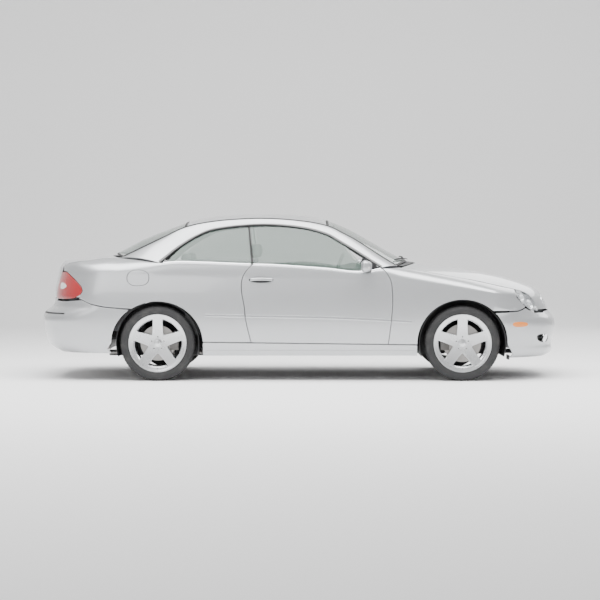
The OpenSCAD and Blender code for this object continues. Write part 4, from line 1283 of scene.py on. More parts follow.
@dataclass
class BodySide:
    """Quarter panel, fender, sill and upper frame of one side."""

    side: Side
    finishes: Finishes
    flap_low: Point = (-1502.5, 832.5)
    flap_high: Point = (-1313.5, 967.5)

    def build(self) -> None:
        """Makes the panels of this side."""
        s, f, word = self.side, self.finishes, self.side.word
        skin = Flank(s)
        holes = [self.flap_ring(skin, SEAMS.inset)] if s is Side.RIGHT else []
        quarter = Panel(skin, on_flank(skin, SEAMS.quarter(), SEAMS.inset), holes).build("quarter_" + word,
                f.paint)
        fit(quarter, "body", "silver_paint", "body_side_" + word)
        fender = Panel(skin, on_flank(skin, SEAMS.fender(), SEAMS.inset)).build("fender_skin_" + word,
                f.paint)
        fit(fender, "body", "silver_paint", "fender_" + word)
        rail = Panel(Rail(s), [(0, 0.02), (11, 0.02), (11, 0.98), (0, 0.98)], spacing=30, edge_step=25)
        fit(rail.build("upper_frame_" + word, f.paint, 14), "body", "silver_paint")
        self.sill(skin)
        self.jambs(skin)
        if s is Side.RIGHT:
            self.flap(skin)

    def flap_ring(self, skin: Flank, inset: float) -> list[Point]:
        """The fuel flap's rounded outline on the skin."""
        (x0, z0), (x1, z1) = self.flap_low, self.flap_high
        ring = smooth([(x0, z0), (x1, z0), (x1, z1), (x0, z1)], 1)
        return [skin.seen(x, z) for x, z in grown(densify(smooth(ring, 2), 12), abs(inset))]

    def flap(self, skin: Flank) -> None:
        """The fuel flap and the pocket behind it."""
        (x0, z0), (x1, z1) = self.flap_low, self.flap_high
        ring = [skin.seen(x, z) for x, z in grown(densify(smooth([(x0, z0), (x1, z0), (x1, z1), (x0, z1)], 3),
                12), -3)]
        lid = Panel(skin, ring, spacing=20, edge_step=10).build("fuel_flap_skin", self.finishes.paint, 3)
        fit(lid, "fuel_flap", "silver_paint", "fuel_flap")
        pocket = Panel(skin, ring, spacing=30, edge_step=14).build("fuel_pocket", self.finishes.black, 8,
                lift=-46)
        cap = lathe("fuel_cap", [(0, 0), (34, 0), (36, 4), (36, 20), (0, 20)], (-1408, -778, 900),
                self.finishes.black, 40,
                side=-1)
        fit(joined("fuel_pocket", [pocket, cap]), "body", "black_trim")

    def sill(self, skin: Flank) -> None:
        """The sill skirt with its highlight line."""
        ring = [(-841, 220), (1031, 220), (1031, 312), (-841, 334)]
        panel = Panel(skin, on_flank(skin, ring, 2.5), spacing=45).build("sill_" + self.side.word,
                self.finishes.paint,
                40)
        path = [skin.point(*skin.seen(x, 262)) + skin.normal(*skin.seen(x, 262)) * -0.5
                for x in np.linspace(ring[0][0] + 14, ring[1][0] - 14, 40)]
        ups = [skin.normal(*skin.seen(p[0], 262)) for p in path]
        lip = swept("sill_lip", path, ups, bar(16, 3.5), self.finishes.paint)
        stands_for = ("side_sills",) if self.side is Side.LEFT else ()
        fit(joined("sill_" + self.side.word, [panel, lip]), "body", "silver_paint", *stands_for)

    def jambs(self, skin: Flank) -> None:
        """The painted frame round the door opening, seen when the door is open."""
        ring = grown(densify(SEAMS.door(), 30), SEAMS.edge)
        points, s = [], self.side.value
        for x, z in ring:
            p = skin.point(*skin.seen(x, z))
            points += [(p[0], p[1] - s * d, p[2]) for d in (4, 60, 112)]
        n = len(ring)
        faces = [(3 * i + j, 3 * i + j + 1, 3 * ((i + 1) % n) + j + 1, 3 * ((i + 1) % n) + j)
                for i in range(n) for j in range(2) if self.below_belt(ring[i])
                and self.below_belt(ring[(i + 1) % n])]
        piece = make("door_frame_" + self.side.word, points, faces, self.finishes.paint)
        thicken(piece, 1.5)
        fit(piece, "body", "silver_paint")

    @staticmethod
    def below_belt(point: Point) -> bool:
        """Whether a point of the door's ring is clear of the belt line."""
        return point[1] < LINES.rim.at(point[0], 2) - 8


def thicken(piece: bpy.types.Object, thickness: float) -> None:
    """Gives an open sheet a thickness, in millimetres.

    Args:
        piece: The sheet.
        thickness: How thick it becomes.
    """
    solid = piece.modifiers.new("thickness", "SOLIDIFY")
    solid.thickness, solid.offset = thickness * MM, 0
    with bpy.context.temp_override(object=piece, active_object=piece):
        bpy.ops.object.modifier_apply(modifier=solid.name)


@dataclass
class Ends:
    """Front and rear bumpers with their openings, plates and lamps."""

    finishes: Finishes
    nose: EndShell = field(default_factory=lambda: EndShell(True))
    tail: EndShell = field(default_factory=lambda: EndShell(False))
    intake: tuple[float, float, float] = (330, 252, 418)

    def build(self) -> None:
        """Makes both bumpers."""
        self.front()
        self.rear()
        self.plates()

    def half_ring(self, end: EndShell, line: Sequence[Point], side: Side) -> list[Point]:
        """A line seen from the side, laid on an end."""
        return [end.seen(x, z, side) for x, z in line]

    def whole_ring(self, end: EndShell, side_line: Sequence[Point], top: Sequence[Point],
            low: float) -> list[Point]:
        """The ring of a whole bumper.

        Args:
            end: The end it is on.
            side_line: From the top of one side down its arch to the bottom, seen from the side.
            top: From the middle to where the side's line starts, as half width and height.
            low: Height of the bottom edge.

        Returns:
            The ring.
        """
        left = [end.met(y, z) for y, z in top] + self.half_ring(end, side_line, Side.LEFT)
        right = [(-u, v) for u, v in left]
        foot = [(mix(left[-1][0], right[-1][0], t), low) for t in steps(40)][1:-1]
        ring = left + foot + right[::-1]
        su, sv = end.stretch
        moved = grown([(u * su, v * sv) for u, v in ring], -SEAMS.inset)
        return [(u / su, v / sv) for u, v in moved]

    def front(self) -> None:
        """The front bumper with its intake, fog openings, fog lamps and air flaps."""
        arch = SEAMS.arch(True, 194, 606)[::-1]
        line = [(2069, 592), (1998, 634), (1918, 606)] + [p for p in arch if p[0] > LINES.axle_front
                and p[1] < 606]
        ring = self.whole_ring(self.nose, line, [(1, 604), (250, 604), (440, 600), (490, 590)], 194)
        half, low, high = self.intake
        mouth = smooth([self.nose.met(y, z) for y, z in densify([(-half, low), (half, low), (half - 26, high),
                (26 - half, high)], 30)], 1)
        fogs = []
        for side in Side:
            shape = smooth([(2085, 402), (2222, 402), (2214, 318), (2112, 331)], 2)
            fogs.append([self.nose.seen(x, z, side) for x, z in shape])
        panel = Panel(self.nose, ring, [mouth, *fogs], spacing=34).build("front_bumper_skin",
                self.finishes.paint, 3)
        fit(panel, "body", "silver_paint", "front_bumper")
        self.mesh_behind("intake_mesh", self.nose, grown([(u * 13, v) for u, v in mouth], 10), 26)
        for side, fog in zip(Side, fogs):
            self.mesh_behind("fog_mesh_" + side.word, self.nose, grown([(u * 13, v) for u, v in fog], 8), 34)
            self.fog_lamp(side)
        self.flap_at_arch()

    def mesh_behind(self, name: str, end: EndShell, ring: Sequence[Point], depth: float) -> None:
        """A black slatted plate behind an opening."""
        plate = Panel(end, [(u / 13, v) for u, v in ring], spacing=45).build(name, self.finishes.black, 2,
                lift=-depth)
        low, high = min(v for _, v in ring) + 14, max(v for _, v in ring) - 12
        u0, u1 = min(u for u, _ in ring) / 13, max(u for u, _ in ring) / 13
        slats = []
        for z in np.linspace(low, high, max(3, round((high - low) / 26))):
            path = [end.point(mix(u0, u1, t), z) - end.normal(mix(u0, u1, t), z) * (depth - 1)
                    for t in np.linspace(0.04, 0.96, 24)]
            ups = [end.normal(mix(u0, u1, t), z) for t in np.linspace(0.04, 0.96, 24)]
            slats.append(swept("slat", path, ups, bar(7, 14), self.finishes.black))
        fit(joined(name, [plate, *slats]), "body", "black_trim")

    def fog_lamp(self, side: Side) -> None:
        """A round fog lamp in its opening."""
        y = 560 * side.value
        u, v = self.nose.met(y, 362)
        p = self.nose.point(u, v) - self.nose.normal(u, v) * 30
        ring = [(0, 0), (30, -2), (36, 2), (38, 8), (38, 30), (0, 30)]
        bowl = lathe_toward("fog_bowl", ring, p, self.nose.normal(u, v), self.finishes.chrome)
        lens = lathe_toward("fog_glass", [(0, 11), (20, 10), (33, 6), (33, 4), (0, 5)], p,
                self.nose.normal(u, v),
                self.finishes.clear)
        fit(bowl, "body", "clear_lamp").name = "fog_bowl_" + side.word
        fit(lens, "body", "clear_lamp").name = "fog_glass_" + side.word

    def flap_at_arch(self) -> None:
        """The small black air flaps at the front of the front arches."""
        for side in Side:
            s = side.value
            piece = block("air_flap_" + side.word, (1822, min(s * 700, s * 830), 186),
                    (1838, max(s * 700, s * 830), 226),
                    self.finishes.black, 4)
            fit(piece, "body", "black_trim")

    def rear(self) -> None:
        """The rear bumper with its crease and step."""
        arch = SEAMS.arch(False, 625, 238)
        line = [(-2070, 693), (-1982, 701), (-1905, 707), (-1822, 670), (-1672, 642)]
        line += [p for p in arch if p[0] < LINES.axle_rear and p[1] < 625]
        ring = self.whole_ring(self.tail, line, [(1, 714), (250, 714), (430, 714), (442, 694)], 238)
        panel = Panel(self.tail, ring, spacing=34).build("rear_bumper_skin", self.finishes.paint, 3)
        fit(panel, "body", "silver_paint", "rear_bumper")
        for name, z, height in (("rear_crease", 566.0, 4.0), ("rear_lower_crease", 398.0, 3.0)):
            clear = [u for u in np.linspace(-97, 97, 240) if self.behind_arch(self.tail.point(u, z))]
            path = [self.tail.point(u, z) - self.tail.normal(u, z) * 4.9 for u in clear]
            ups = [self.tail.normal(u, z) for u in clear]
            fit(swept(name, path, ups, bar(34, height), self.finishes.paint), "body", "silver_paint")
        path = [self.tail.point(u, 590) - self.tail.normal(u, 590) * 5.8 for u in np.linspace(-62, 62, 90)]
        ups = [self.tail.normal(u, 590) for u in np.linspace(-62, 62, 90)]
        fit(swept("rear_step_pad", path, ups, bar(26, 5), self.finishes.black), "body", "black_trim")

    def behind_arch(self, point: np.ndarray) -> bool:
        """Whether a place on the bumper lies clear behind the rear arch."""
        return point[0] < LINES.axle_rear and math.hypot(point[0] - LINES.axle_rear,
                point[2] - LINES.axle_height) > 402

    def plates(self) -> None:
        """A blank number plate on the trunk lid."""
        ring = [LIDSKIN.solve((7.6, y / 520), lambda p, y=y, z=z: (p[1] - y, p[2] - z))
                for y, z in densify([(-240, 760), (240, 760), (240, 840), (-240, 840)], 30)]
        rear = Panel(LIDSKIN, ring, spacing=60).build("rear_plate", self.finishes.plate, 2, lift=1)
        fit(rear, "trunk_lid", "silver_paint")


def lathe_toward(name: str, profile: Sequence[Point], centre: Sequence[float], direction: np.ndarray,
        material: bpy.types.Material, segments: int = 48) -> bpy.types.Object:
    """Turns a profile about a line in any direction.

    Args:
        name: The piece's name.
        profile: Radius, and distance out along the line.
        centre: The line's start.
        direction: The line's direction.
        material: The finish.
        segments: Steps round.

    Returns:
        The piece.
    """
    piece = lathe(name, profile, (0, 0, 0), material, segments, False)
    turn = Vector((0, 1, 0)).rotation_difference(Vector(tuple(direction))).to_matrix().to_4x4()
    piece.data.transform(Matrix.Translation(Vector([c * MM for c in centre])) @ turn)
    return piece


HOODSKIN = Deck(LINES.hood, (120.0, 680.0))
LIDSKIN = Deck(LINES.lid, (70.0, 600.0))


@dataclass
class Decks:
    """Hood with its grille, trunk lid, roof and the glass before and behind it."""

    finishes: Finishes

    def build(self) -> None:
        """Makes the top panels."""
        f = self.finishes
        grille = [HOODSKIN.solve((9.5, y / 520), lambda p, y=y, z=z: (p[1] - y, p[2] - z))
                for y, z in densify(smooth([(-300, 740), (300, 740), (257, 624), (-257, 624)], 2), 16)]
        hood = Panel(HOODSKIN, [(0.03, -1), (10.96, -1), (10.96, 1), (0.03, 1)], [grille], 40)
        fit(hood.build("hood_skin", f.paint, 4), "hood", "silver_paint", "hood")
        self.grille(grille)
        lid = Panel(LIDSKIN, [(0.05, -1), (8.96, -1), (8.96, 1), (0.05, 1)], spacing=34)
        fit(lid.build("trunk_lid_skin", f.paint, 4), "trunk_lid", "silver_paint", "trunk_lid")
        self.lid_lip()
        canopy = Canopy()
        edge = 0.993
        roof = Panel(canopy, [(4.03, -edge), (7.97, -edge), (7.97, edge), (4.03, edge)], spacing=45)
        fit(roof.build("roof_skin", f.paint, 4), "body", "silver_paint", "roof_panel")
        for name, node, s0, s1 in (("windshield_glass", "windshield", 0.10, 3.95),
                ("rear_window_glass", "rear_window", 8.05, 10.88)):
            glass = Panel(canopy, [(s0, -0.975), (s1, -0.975), (s1, 0.975), (s0, 0.975)], spacing=60)
            fit(glass.build(name, f.glass, 3.5, 1.2, lift=-2), "body", "tinted_glass", node)
            self.surround(canopy, name + "_seal", s0, s1)

    def surround(self, canopy: Canopy, name: str, s0: float, s1: float) -> None:
        """The black band round a screen."""
        h = 0.978
        ring = densify([(s0, -h), (s1, -h), (s1, h), (s0, h)], 0.08)
        points = [canopy.point(u, v) + canopy.normal(u, v) * -3 for u, v in ring]
        ups = [canopy.normal(u, v) for u, v in ring]
        fit(swept(name, points, ups, bar(20, 3.6), self.finishes.seal, closed=True), "body", "black_trim")

    def lid_lip(self) -> None:
        """The handle bar over the plate and the lid's lip."""
        path = [LIDSKIN.point(6.15, v) - LIDSKIN.normal(6.15, v) for v in np.linspace(-0.62, 0.62, 40)]
        ups = [LIDSKIN.normal(6.15, v) for v in np.linspace(-0.62, 0.62, 40)]
        fit(swept("lid_bar", path, ups, bar(30, 9), self.finishes.chrome), "trunk_lid", "silver_paint")

    def grille(self, ring: Sequence[Point]) -> None:
        """The slatted grille in its bright frame."""
        f = self.finishes
        points = [HOODSKIN.point(u, v) for u, v in ring]
        ups = [HOODSKIN.normal(u, v) for u, v in ring]
        frame_ = swept("grille_frame", [p + n * 0.5 for p, n in zip(points, ups)], ups, bar(13, 5), f.chrome,
                closed=True)
        made = [frame_]
        for z in np.linspace(648, 718, 4):
            half = 255 + (z - 622) * 0.375 - 10
            line = [HOODSKIN.solve((9.6, y / 520), lambda p, y=y, z=z: (p[1] - y, p[2] - z))
                    for y in np.linspace(-half, half, 26)]
            path = [HOODSKIN.point(u, v) - HOODSKIN.normal(u, v) * 16 for u, v in line]
            made.append(swept("slat", path, [HOODSKIN.normal(u, v) for u, v in line], bar(13, 13),
                    f.dull_chrome))
        plate = Panel(HOODSKIN, ring, spacing=50).build("grille_back", f.black, 2, lift=-34)
        fit(joined("grille_slats", made), "hood", "black_trim", "grille")
        fit(plate, "hood", "black_trim")


# ---------------------------------------------------------------- Lamps, trim, doors


@dataclass
class Lamps:
    """Headlamps, tail lamps and side markers."""

    finishes: Finishes

    def build(self) -> None:
        """Makes the lamps of both sides."""
        for side in Side:
            self.headlamp(side)
            self.tail_lamp(side)
            self.marker(side)
        tail = joined("tail_lamps_lenses", [bpy.data.objects["tail_lamp_" + s.word] for s in Side])
        fit(tail, "body", "red_lamp", "tail_lamps")
        head = joined("headlamp_covers", [bpy.data.objects["headlamp_" + s.word] for s in Side])
        fit(head, "body", "clear_lamp", "headlamps")

    def headlamp(self, side: Side) -> None:
        """A clear cover over twin oval reflectors in a dark bowl."""
        f, skin = self.finishes, Flank(side)
        ring = grown(densify(smooth(LINES.headlamp, 2), 12), -4)
        laid = [skin.seen(x, z) for x, z in ring]
        Panel(skin, laid, spacing=20, edge_step=9).build("headlamp_" + side.word, f.clear, 1.5, 2)
        inner = [skin.seen(x, z) for x, z in grown(ring, -3)]
        bowl = Panel(skin, inner, spacing=26, edge_step=12).build("lamp_bowl_" + side.word, f.gloss_black, 4,
                lift=-40)
        made = [bowl]
        for x, z, r in ((2052, 668, 46), (1968, 728, 34)):
            u, v = skin.seen(x, z)
            n = skin.normal(u, v)
            p = skin.point(u, v) - n * 36
            cup = [(0, 2), (r * 0.55, 5), (r * 0.85, 13), (r, 26), (r + 3, 26), (r + 3, 0)]
            made.append(lathe_toward("reflector", cup, p, n, f.chrome))
            made.append(lathe_toward("bulb_cap", [(0, 22), (9, 20), (13, 12), (13, 4)], p, n, f.white_lens))
        fit(joined("headlamp_bowl_" + side.word, made), "body", "black_trim")

    def tail_lamp(self, side: Side) -> None:
        """A wrapped red lens with a clear wedge."""
        f, tail = self.finishes, EndShell(False)
        outer = list(LINES.tail_lamp)
        ring = [tail.seen(x, z, side) for x, z in densify(outer, 14, False)]
        ring += [tail.met(446 * side.value, z) for z in (706, 760, 820, 880, 947)]
        su, sv = tail.stretch
        moved = [(u / su, v / sv) for u, v in grown([(u * su, v * sv) for u, v in ring], -5)]
        Panel(tail, moved, spacing=22, edge_step=10).build("tail_lamp_" + side.word, f.red, 6)
        wedge = smooth([(-2126, 868), (-2040, 823), (-2130, 784)], 2)
        patch = [tail.seen(x, z, side) for x, z in wedge]
        clear = Panel(tail, patch, spacing=20, edge_step=8).build("wedge", f.white_lens, 1.5, 1.5, lift=1.2)
        fit(clear, "body", "clear_lamp").name = "tail_lamp_wedge_" + side.word

    def marker(self, side: Side) -> None:
        """An amber side marker on the front bumper."""
        nose = EndShell(True)
        ring = smooth([(1866, 515), (2003, 512), (2005, 474), (1872, 470)], 2)
        laid = [nose.seen(x, z, side) for x, z in ring]
        lens = Panel(nose, laid, spacing=20, edge_step=9).build("side_marker_" + side.word,
                self.finishes.amber, 1.5, 2,
                lift=2)
        fit(lens, "body", "red_lamp")


@dataclass
class Door:
    """A door with its glass, mirror, handle, mouldings and inner trim."""

    side: Side
    finishes: Finishes
    handle: tuple[float, float, float] = (-444, -220, 883)

    @property
    def body(self) -> str:
        """The body the door's pieces ride on."""
        return "door_" + self.side.word

    def build(self) -> None:
        """Makes the door's pieces."""
        f, skin = self.finishes, Flank(self.side)
        ring = on_flank(skin, SEAMS.door(), SEAMS.inset)
        panel = Panel(skin, ring, spacing=42).build("door_skin_" + self.side.word, f.paint, 4)
        fit(panel, self.body, "silver_paint", "door_" + self.side.word)
        self.inner(skin)
        self.glass()
        self.pull(skin)
        self.mirror()

    def inner(self, skin: Flank) -> None:
        """The trim panel, arm rest, pocket and edges inside the door."""
        f, s = self.finishes, self.side.value
        outline = grown(densify(SEAMS.door(), 24), -SEAMS.inset)
        n, rows = len(outline), []
        for depth, shrink in ((6, 0), (96, 0), (106, 8)):
            ring = grown(outline, -shrink)
            rows.append([(x, skin.point(*skin.seen(*o))[1] - s * depth, z) for (x, z),
                    o in zip(ring, outline)])
        points = [p for row in rows for p in row]
        faces = [(k * n + i, k * n + (i + 1) % n, (k + 1) * n + (i + 1) % n, (k + 1) * n + i)
                for k in range(2) for i in range(n)]
        edge = make("door_edge_" + self.side.word, points, faces, f.paint)
        thicken(edge, 1.5)
        fit(edge, self.body, "silver_paint")
        card = Panel(Inner(self.side, 104), grown(outline, -12),
                spacing=50).build("door_trim_" + self.side.word,
                f.panel_grey, 2)
        rest = prism("arm_rest", smooth([(-330, 660), (330, 690), (400, 640), (330, 600), (-330, 590)], 2),
                s * 700, s * 752, f.dash, 12)
        pocket = prism("door_pocket", smooth([(-300, 400), (560, 400), (600, 470), (-320, 480)], 1), s * 700,
                s * 748,
                f.panel_grey, 8)
        catch = lathe_toward("pull", [(0, 0), (16, 0), (16, 5), (0, 6)], (250, s * 746, 800),
                np.array((0, -s, 0)), f.chrome)
        fit(joined("door_trim_" + self.side.word, [card, rest, pocket, catch]), self.body,
                "dashboard_plastic")

    def glass(self) -> None:
        """The door's window and its belt moulding."""
        window = SideWindow(self.side)
        ring = [(-396, 0.0), (620, 0.0), (560, 0.3)]
        top = [(x, 1.0) for x in (420, 300, 150, 0, -200, -300, -432)]
        pane = Panel(window, [*ring, (520, 0.62), *top], spacing=70).build("door_window_" + self.side.word,
                self.finishes.glass, 3, 1)
        fit(pane, self.body, "tinted_glass", "door_glass_" + self.side.word)
        belt_moulding("door_belt_" + self.side.word, self.side, -400, 712, self.body, self.finishes)

    def pull(self, skin: Flank) -> None:
        """The handle and its dish."""
        f, (x0, x1, z) = self.finishes, self.handle
        path, ups = [], []
        for t in np.linspace(0, 1, 24):
            x = mix(x0 + 20, x1 - 16, t)
            u, v = skin.seen(x, z + 3 * math.sin(math.pi * t))
            n = skin.normal(u, v)
            path.append(skin.point(u, v) + n * (4 + 15 * math.sin(math.pi * t) ** 0.5))
            ups.append(n)
        grip = swept("handle_grip_" + self.side.word, path, ups, bar(26, 9, 0.6), f.paint)
        ring = [(mix(x0, x1, 0.5) + 108 * math.cos(a), z + 25 * math.sin(a))
                for a in np.linspace(0, math.tau, 33)[:-1]]
        dish = Panel(skin, [skin.seen(x, q) for x, q in ring], spacing=22, edge_step=9).build("handle_dish",
                f.black, 1, 1,
                lift=0.9)
        fit(grip, self.body, "silver_paint", "handle_" + self.side.word)
        fit(dish, self.body, "black_trim").name = "handle_dish_" + self.side.word

    def mirror(self) -> None:
        """The mirror's shell, glass, lamp strip and foot."""
        f, s = self.finishes, self.side.value
        low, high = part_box("mirror_" + self.side.word)
        middle = Vector((572, s * 925, 1002))
        work = bmesh.new()
        bmesh.ops.create_uvsphere(work, u_segments=40, v_segments=24, radius=1)
        for vert in work.verts:
            x, y, z = vert.co
            front = x > 0
            x = x * 62 if front else x * 34
            square = 0.62
            y, z = (math.copysign(abs(c) ** square, c) for c in (y, z))
            taper = 1 - 0.16 * max(0.0, vert.co[0])
            vert.co = (middle[0] + x, middle[1] + y * 76 * taper, middle[2] + z * 54 * taper)
        points = [tuple(v.co) for v in work.verts]
        faces = [tuple(v.index for v in face.verts) for face in work.faces]
        work.free()
        limit = (abs(low.y) if s < 0 else high.y) / MM - 1
        points = [(x, s * min(abs(y), limit), min(z, high.z / MM - 1)) for x, y, z in points]
        shell = make("mirror_shell_" + self.side.word, points, faces, f.paint)
        fit(shell, self.body, "silver_paint", "mirror_" + self.side.word)
        face = block("mirror_face", (538, s * 925 - 60, 962), (542, s * 925 + 60, 1040), f.chrome, 1.5)
        foot = swept("mirror_foot", [(600, s * 796, 972), (594, s * 830, 966), (584, s * 866, 972)],
                [(0, 0, 1)] * 3,
                bar(74, 20, 0.8), f.black, taper=0.8)
        sail = prism("mirror_sail", [(560, 972), (690, 986), (668, 1016), (600, 1060)], s * 782, s * 800,
                f.black, 3)
        strip = swept("mirror_lamp", [(middle[0] + 56 * math.cos(a), middle[1] + s * 72 * math.sin(a), 992)
                                for a in np.linspace(0.2, 1.2, 14)],
                [(math.cos(a), s * math.sin(a), 0) for a in np.linspace(0.2, 1.2, 14)], bar(12, 5),
                f.white_lens)
        fit(joined("mirror_fittings_" + self.side.word, [foot, sail, face, strip]), self.body, "black_trim")


@dataclass
class Inner(Surface):
    """A plane-like surface a set depth inside a body side, over x and z."""

    side: Side
    depth: float
    stretch: Point = (1.0, 1.0)

    def point(self, u: float, v: float) -> np.ndarray:
        """The point at x and z."""
        skin = Flank(self.side)
        y = abs(skin.point(*skin.seen(u, min(v, LINES.rim.at(u, 2) - 10)))[1]) - self.depth
        return np.array((u, self.side.value * y, v))

    def normal(self, u: float, v: float) -> np.ndarray:
        """Straight into the cabin."""
        return np.array((0.0, -float(self.side.value), 0.0))


def belt_moulding(name: str, side: Side, x0: float, x1: float, body: str, finishes: Finishes) -> None:
    """The bright strip and black seal along the belt.

    Args:
        name: The piece's name.
        side: The side it is on.
        x0: Its rear end.
        x1: Its front end.
        body: The body it rides on.
        finishes: The finishes.
    """
    skin = Flank(side)
    count = max(8, round(abs(x1 - x0) / 30))
    path = [skin.point(x, 2.0) for x in np.linspace(x0, x1, count)]
    out = [np.array((0, side.value * 0.75, 0.66)) for _ in path]
    bright = swept(name, [p + np.array((0, side.value * -2, -1)) for p in path], out, bar(13, 5.5),
            finishes.chrome)
    seal = swept("seal", [p + np.array((0, side.value * -9, -1)) for p in path], out, bar(8, 7),
            finishes.seal)
    fit(joined(name, [bright, seal]), body, "black_trim")


@dataclass
class SideTrim:
    """Rub strips, window surround, quarter windows and their seals on one side."""

    side: Side
    finishes: Finishes
    strip: Curve = field(default_factory=lambda: Curve((-820, 574), (-440, 567), (269, 553), (700, 534),
            (975, 518)))

    def build(self) -> None:
        """Makes this side's trim."""
        self.rub_strips()
        self.window_band()
        self.quarter_window()
        belt_moulding("quarter_belt_" + self.side.word, self.side, -1190, -425, "body", self.finishes)

    def rub_strips(self) -> None:
        """The moulded strips, broken at the shut lines."""
        skin = Flank(self.side)
        for name, x0, x1, body in (("quarter", -822, -482, "body"),
                ("door", -466, 800, "door_" + self.side.word),
                ("fender", 815, 985, "body")):
            xs = np.linspace(x0, x1, max(10, round((x1 - x0) / 24)))
            spots = [skin.seen(x, self.strip.at(x)) for x in xs]
            ups = [skin.normal(u, v) for u, v in spots]
            path = [skin.point(u, v) - n * 0.5 for (u, v), n in zip(spots, ups)]
            made = swept(name + "_strip_" + self.side.word, path, ups, bar(30, 6.5, 0.4), self.finishes.paint)
            raised = [p + n * 5.6 for p, n in zip(path, ups)]
            line = swept("line", raised, ups, bar(7, 2.2), self.finishes.dull_chrome)
            fit(joined(name + "_strip_" + self.side.word, [made, line]), body, "silver_paint")

    def window_band(self) -> None:
        """The black band round the side windows and the drip moulding over it."""
        rail = Rail(self.side)
        stations = np.linspace(0.05, 10.9, 90)
        path = [rail.point(u, 0.965) for u in stations]
        ups = [rail.normal(u, 0.96) for u in stations]
        band = swept("window_band", path, ups, bar(20, 3.5), self.finishes.gloss_black)
        inner = [rail.point(u, 1.0) + np.array((0, -self.side.value * 6, -3)) for u in stations]
        seal = swept("window_seal", inner, ups, bar(14, 7), self.finishes.seal)
        drip = [rail.point(u, 0.03) for u in stations]
        moulding = swept("roof_moulding", drip, [rail.normal(u, 0.05) for u in stations], bar(11, 4),
                self.finishes.seal)
        fit(joined("window_surround_" + self.side.word, [band, seal, moulding]), "body", "black_trim")

    def quarter_window(self) -> None:
        """The small rear side window with its upright seal."""
        window = SideWindow(self.side)
        ring = [(-1165, 0.04), (-420, 0.0), (-454, 1.0), (-717, 1.0), (-887, 1.0), (-1040, 0.96),
                (-1120, 0.7)]
        pane = Panel(window, ring, spacing=70).build("quarter_window_" + self.side.word, self.finishes.glass,
                3, 1)
        fit(pane, "body", "tinted_glass", *(["quarter_glass"] if self.side is Side.LEFT else []))
        path = [window.point(mix(-409, -447, t), t) for t in np.linspace(0, 1, 24)]
        ups = [window.normal(mix(-409, -447, t), t) for t in np.linspace(0, 1, 24)]
        seal = swept("quarter_seal_" + self.side.word, path, ups, bar(15, 6), self.finishes.seal)
        fit(seal, "body", "black_trim")


# ---------------------------------------------------------------- Wheels


@dataclass
class WheelFace(Surface):
    """The dished outer face of a wheel: x and z from its middle."""

    centre: tuple[float, float, float]
    side: Side
    stretch: Point = (1.0, 1.0)

    def point(self, u: float, v: float) -> np.ndarray:
        """The point at a place on the face."""
        r = math.hypot(u, v)
        dish = -6 - 20 * (1 - min(1.0, r / 232) ** 2) + 4 * math.exp(-((r / 50) ** 2))
        cx, cy, cz = self.centre
        return np.array((cx + u, cy + self.side.value * dish, cz + v))

    def normal(self, u: float, v: float) -> np.ndarray:
        """The direction off the face, away from the car."""
        r = max(1e-6, math.hypot(u, v))
        slope = 40 * r / 232 ** 2
        n = np.array((-u / r * slope, self.side.value, -v / r * slope))
        return n / np.linalg.norm(n)


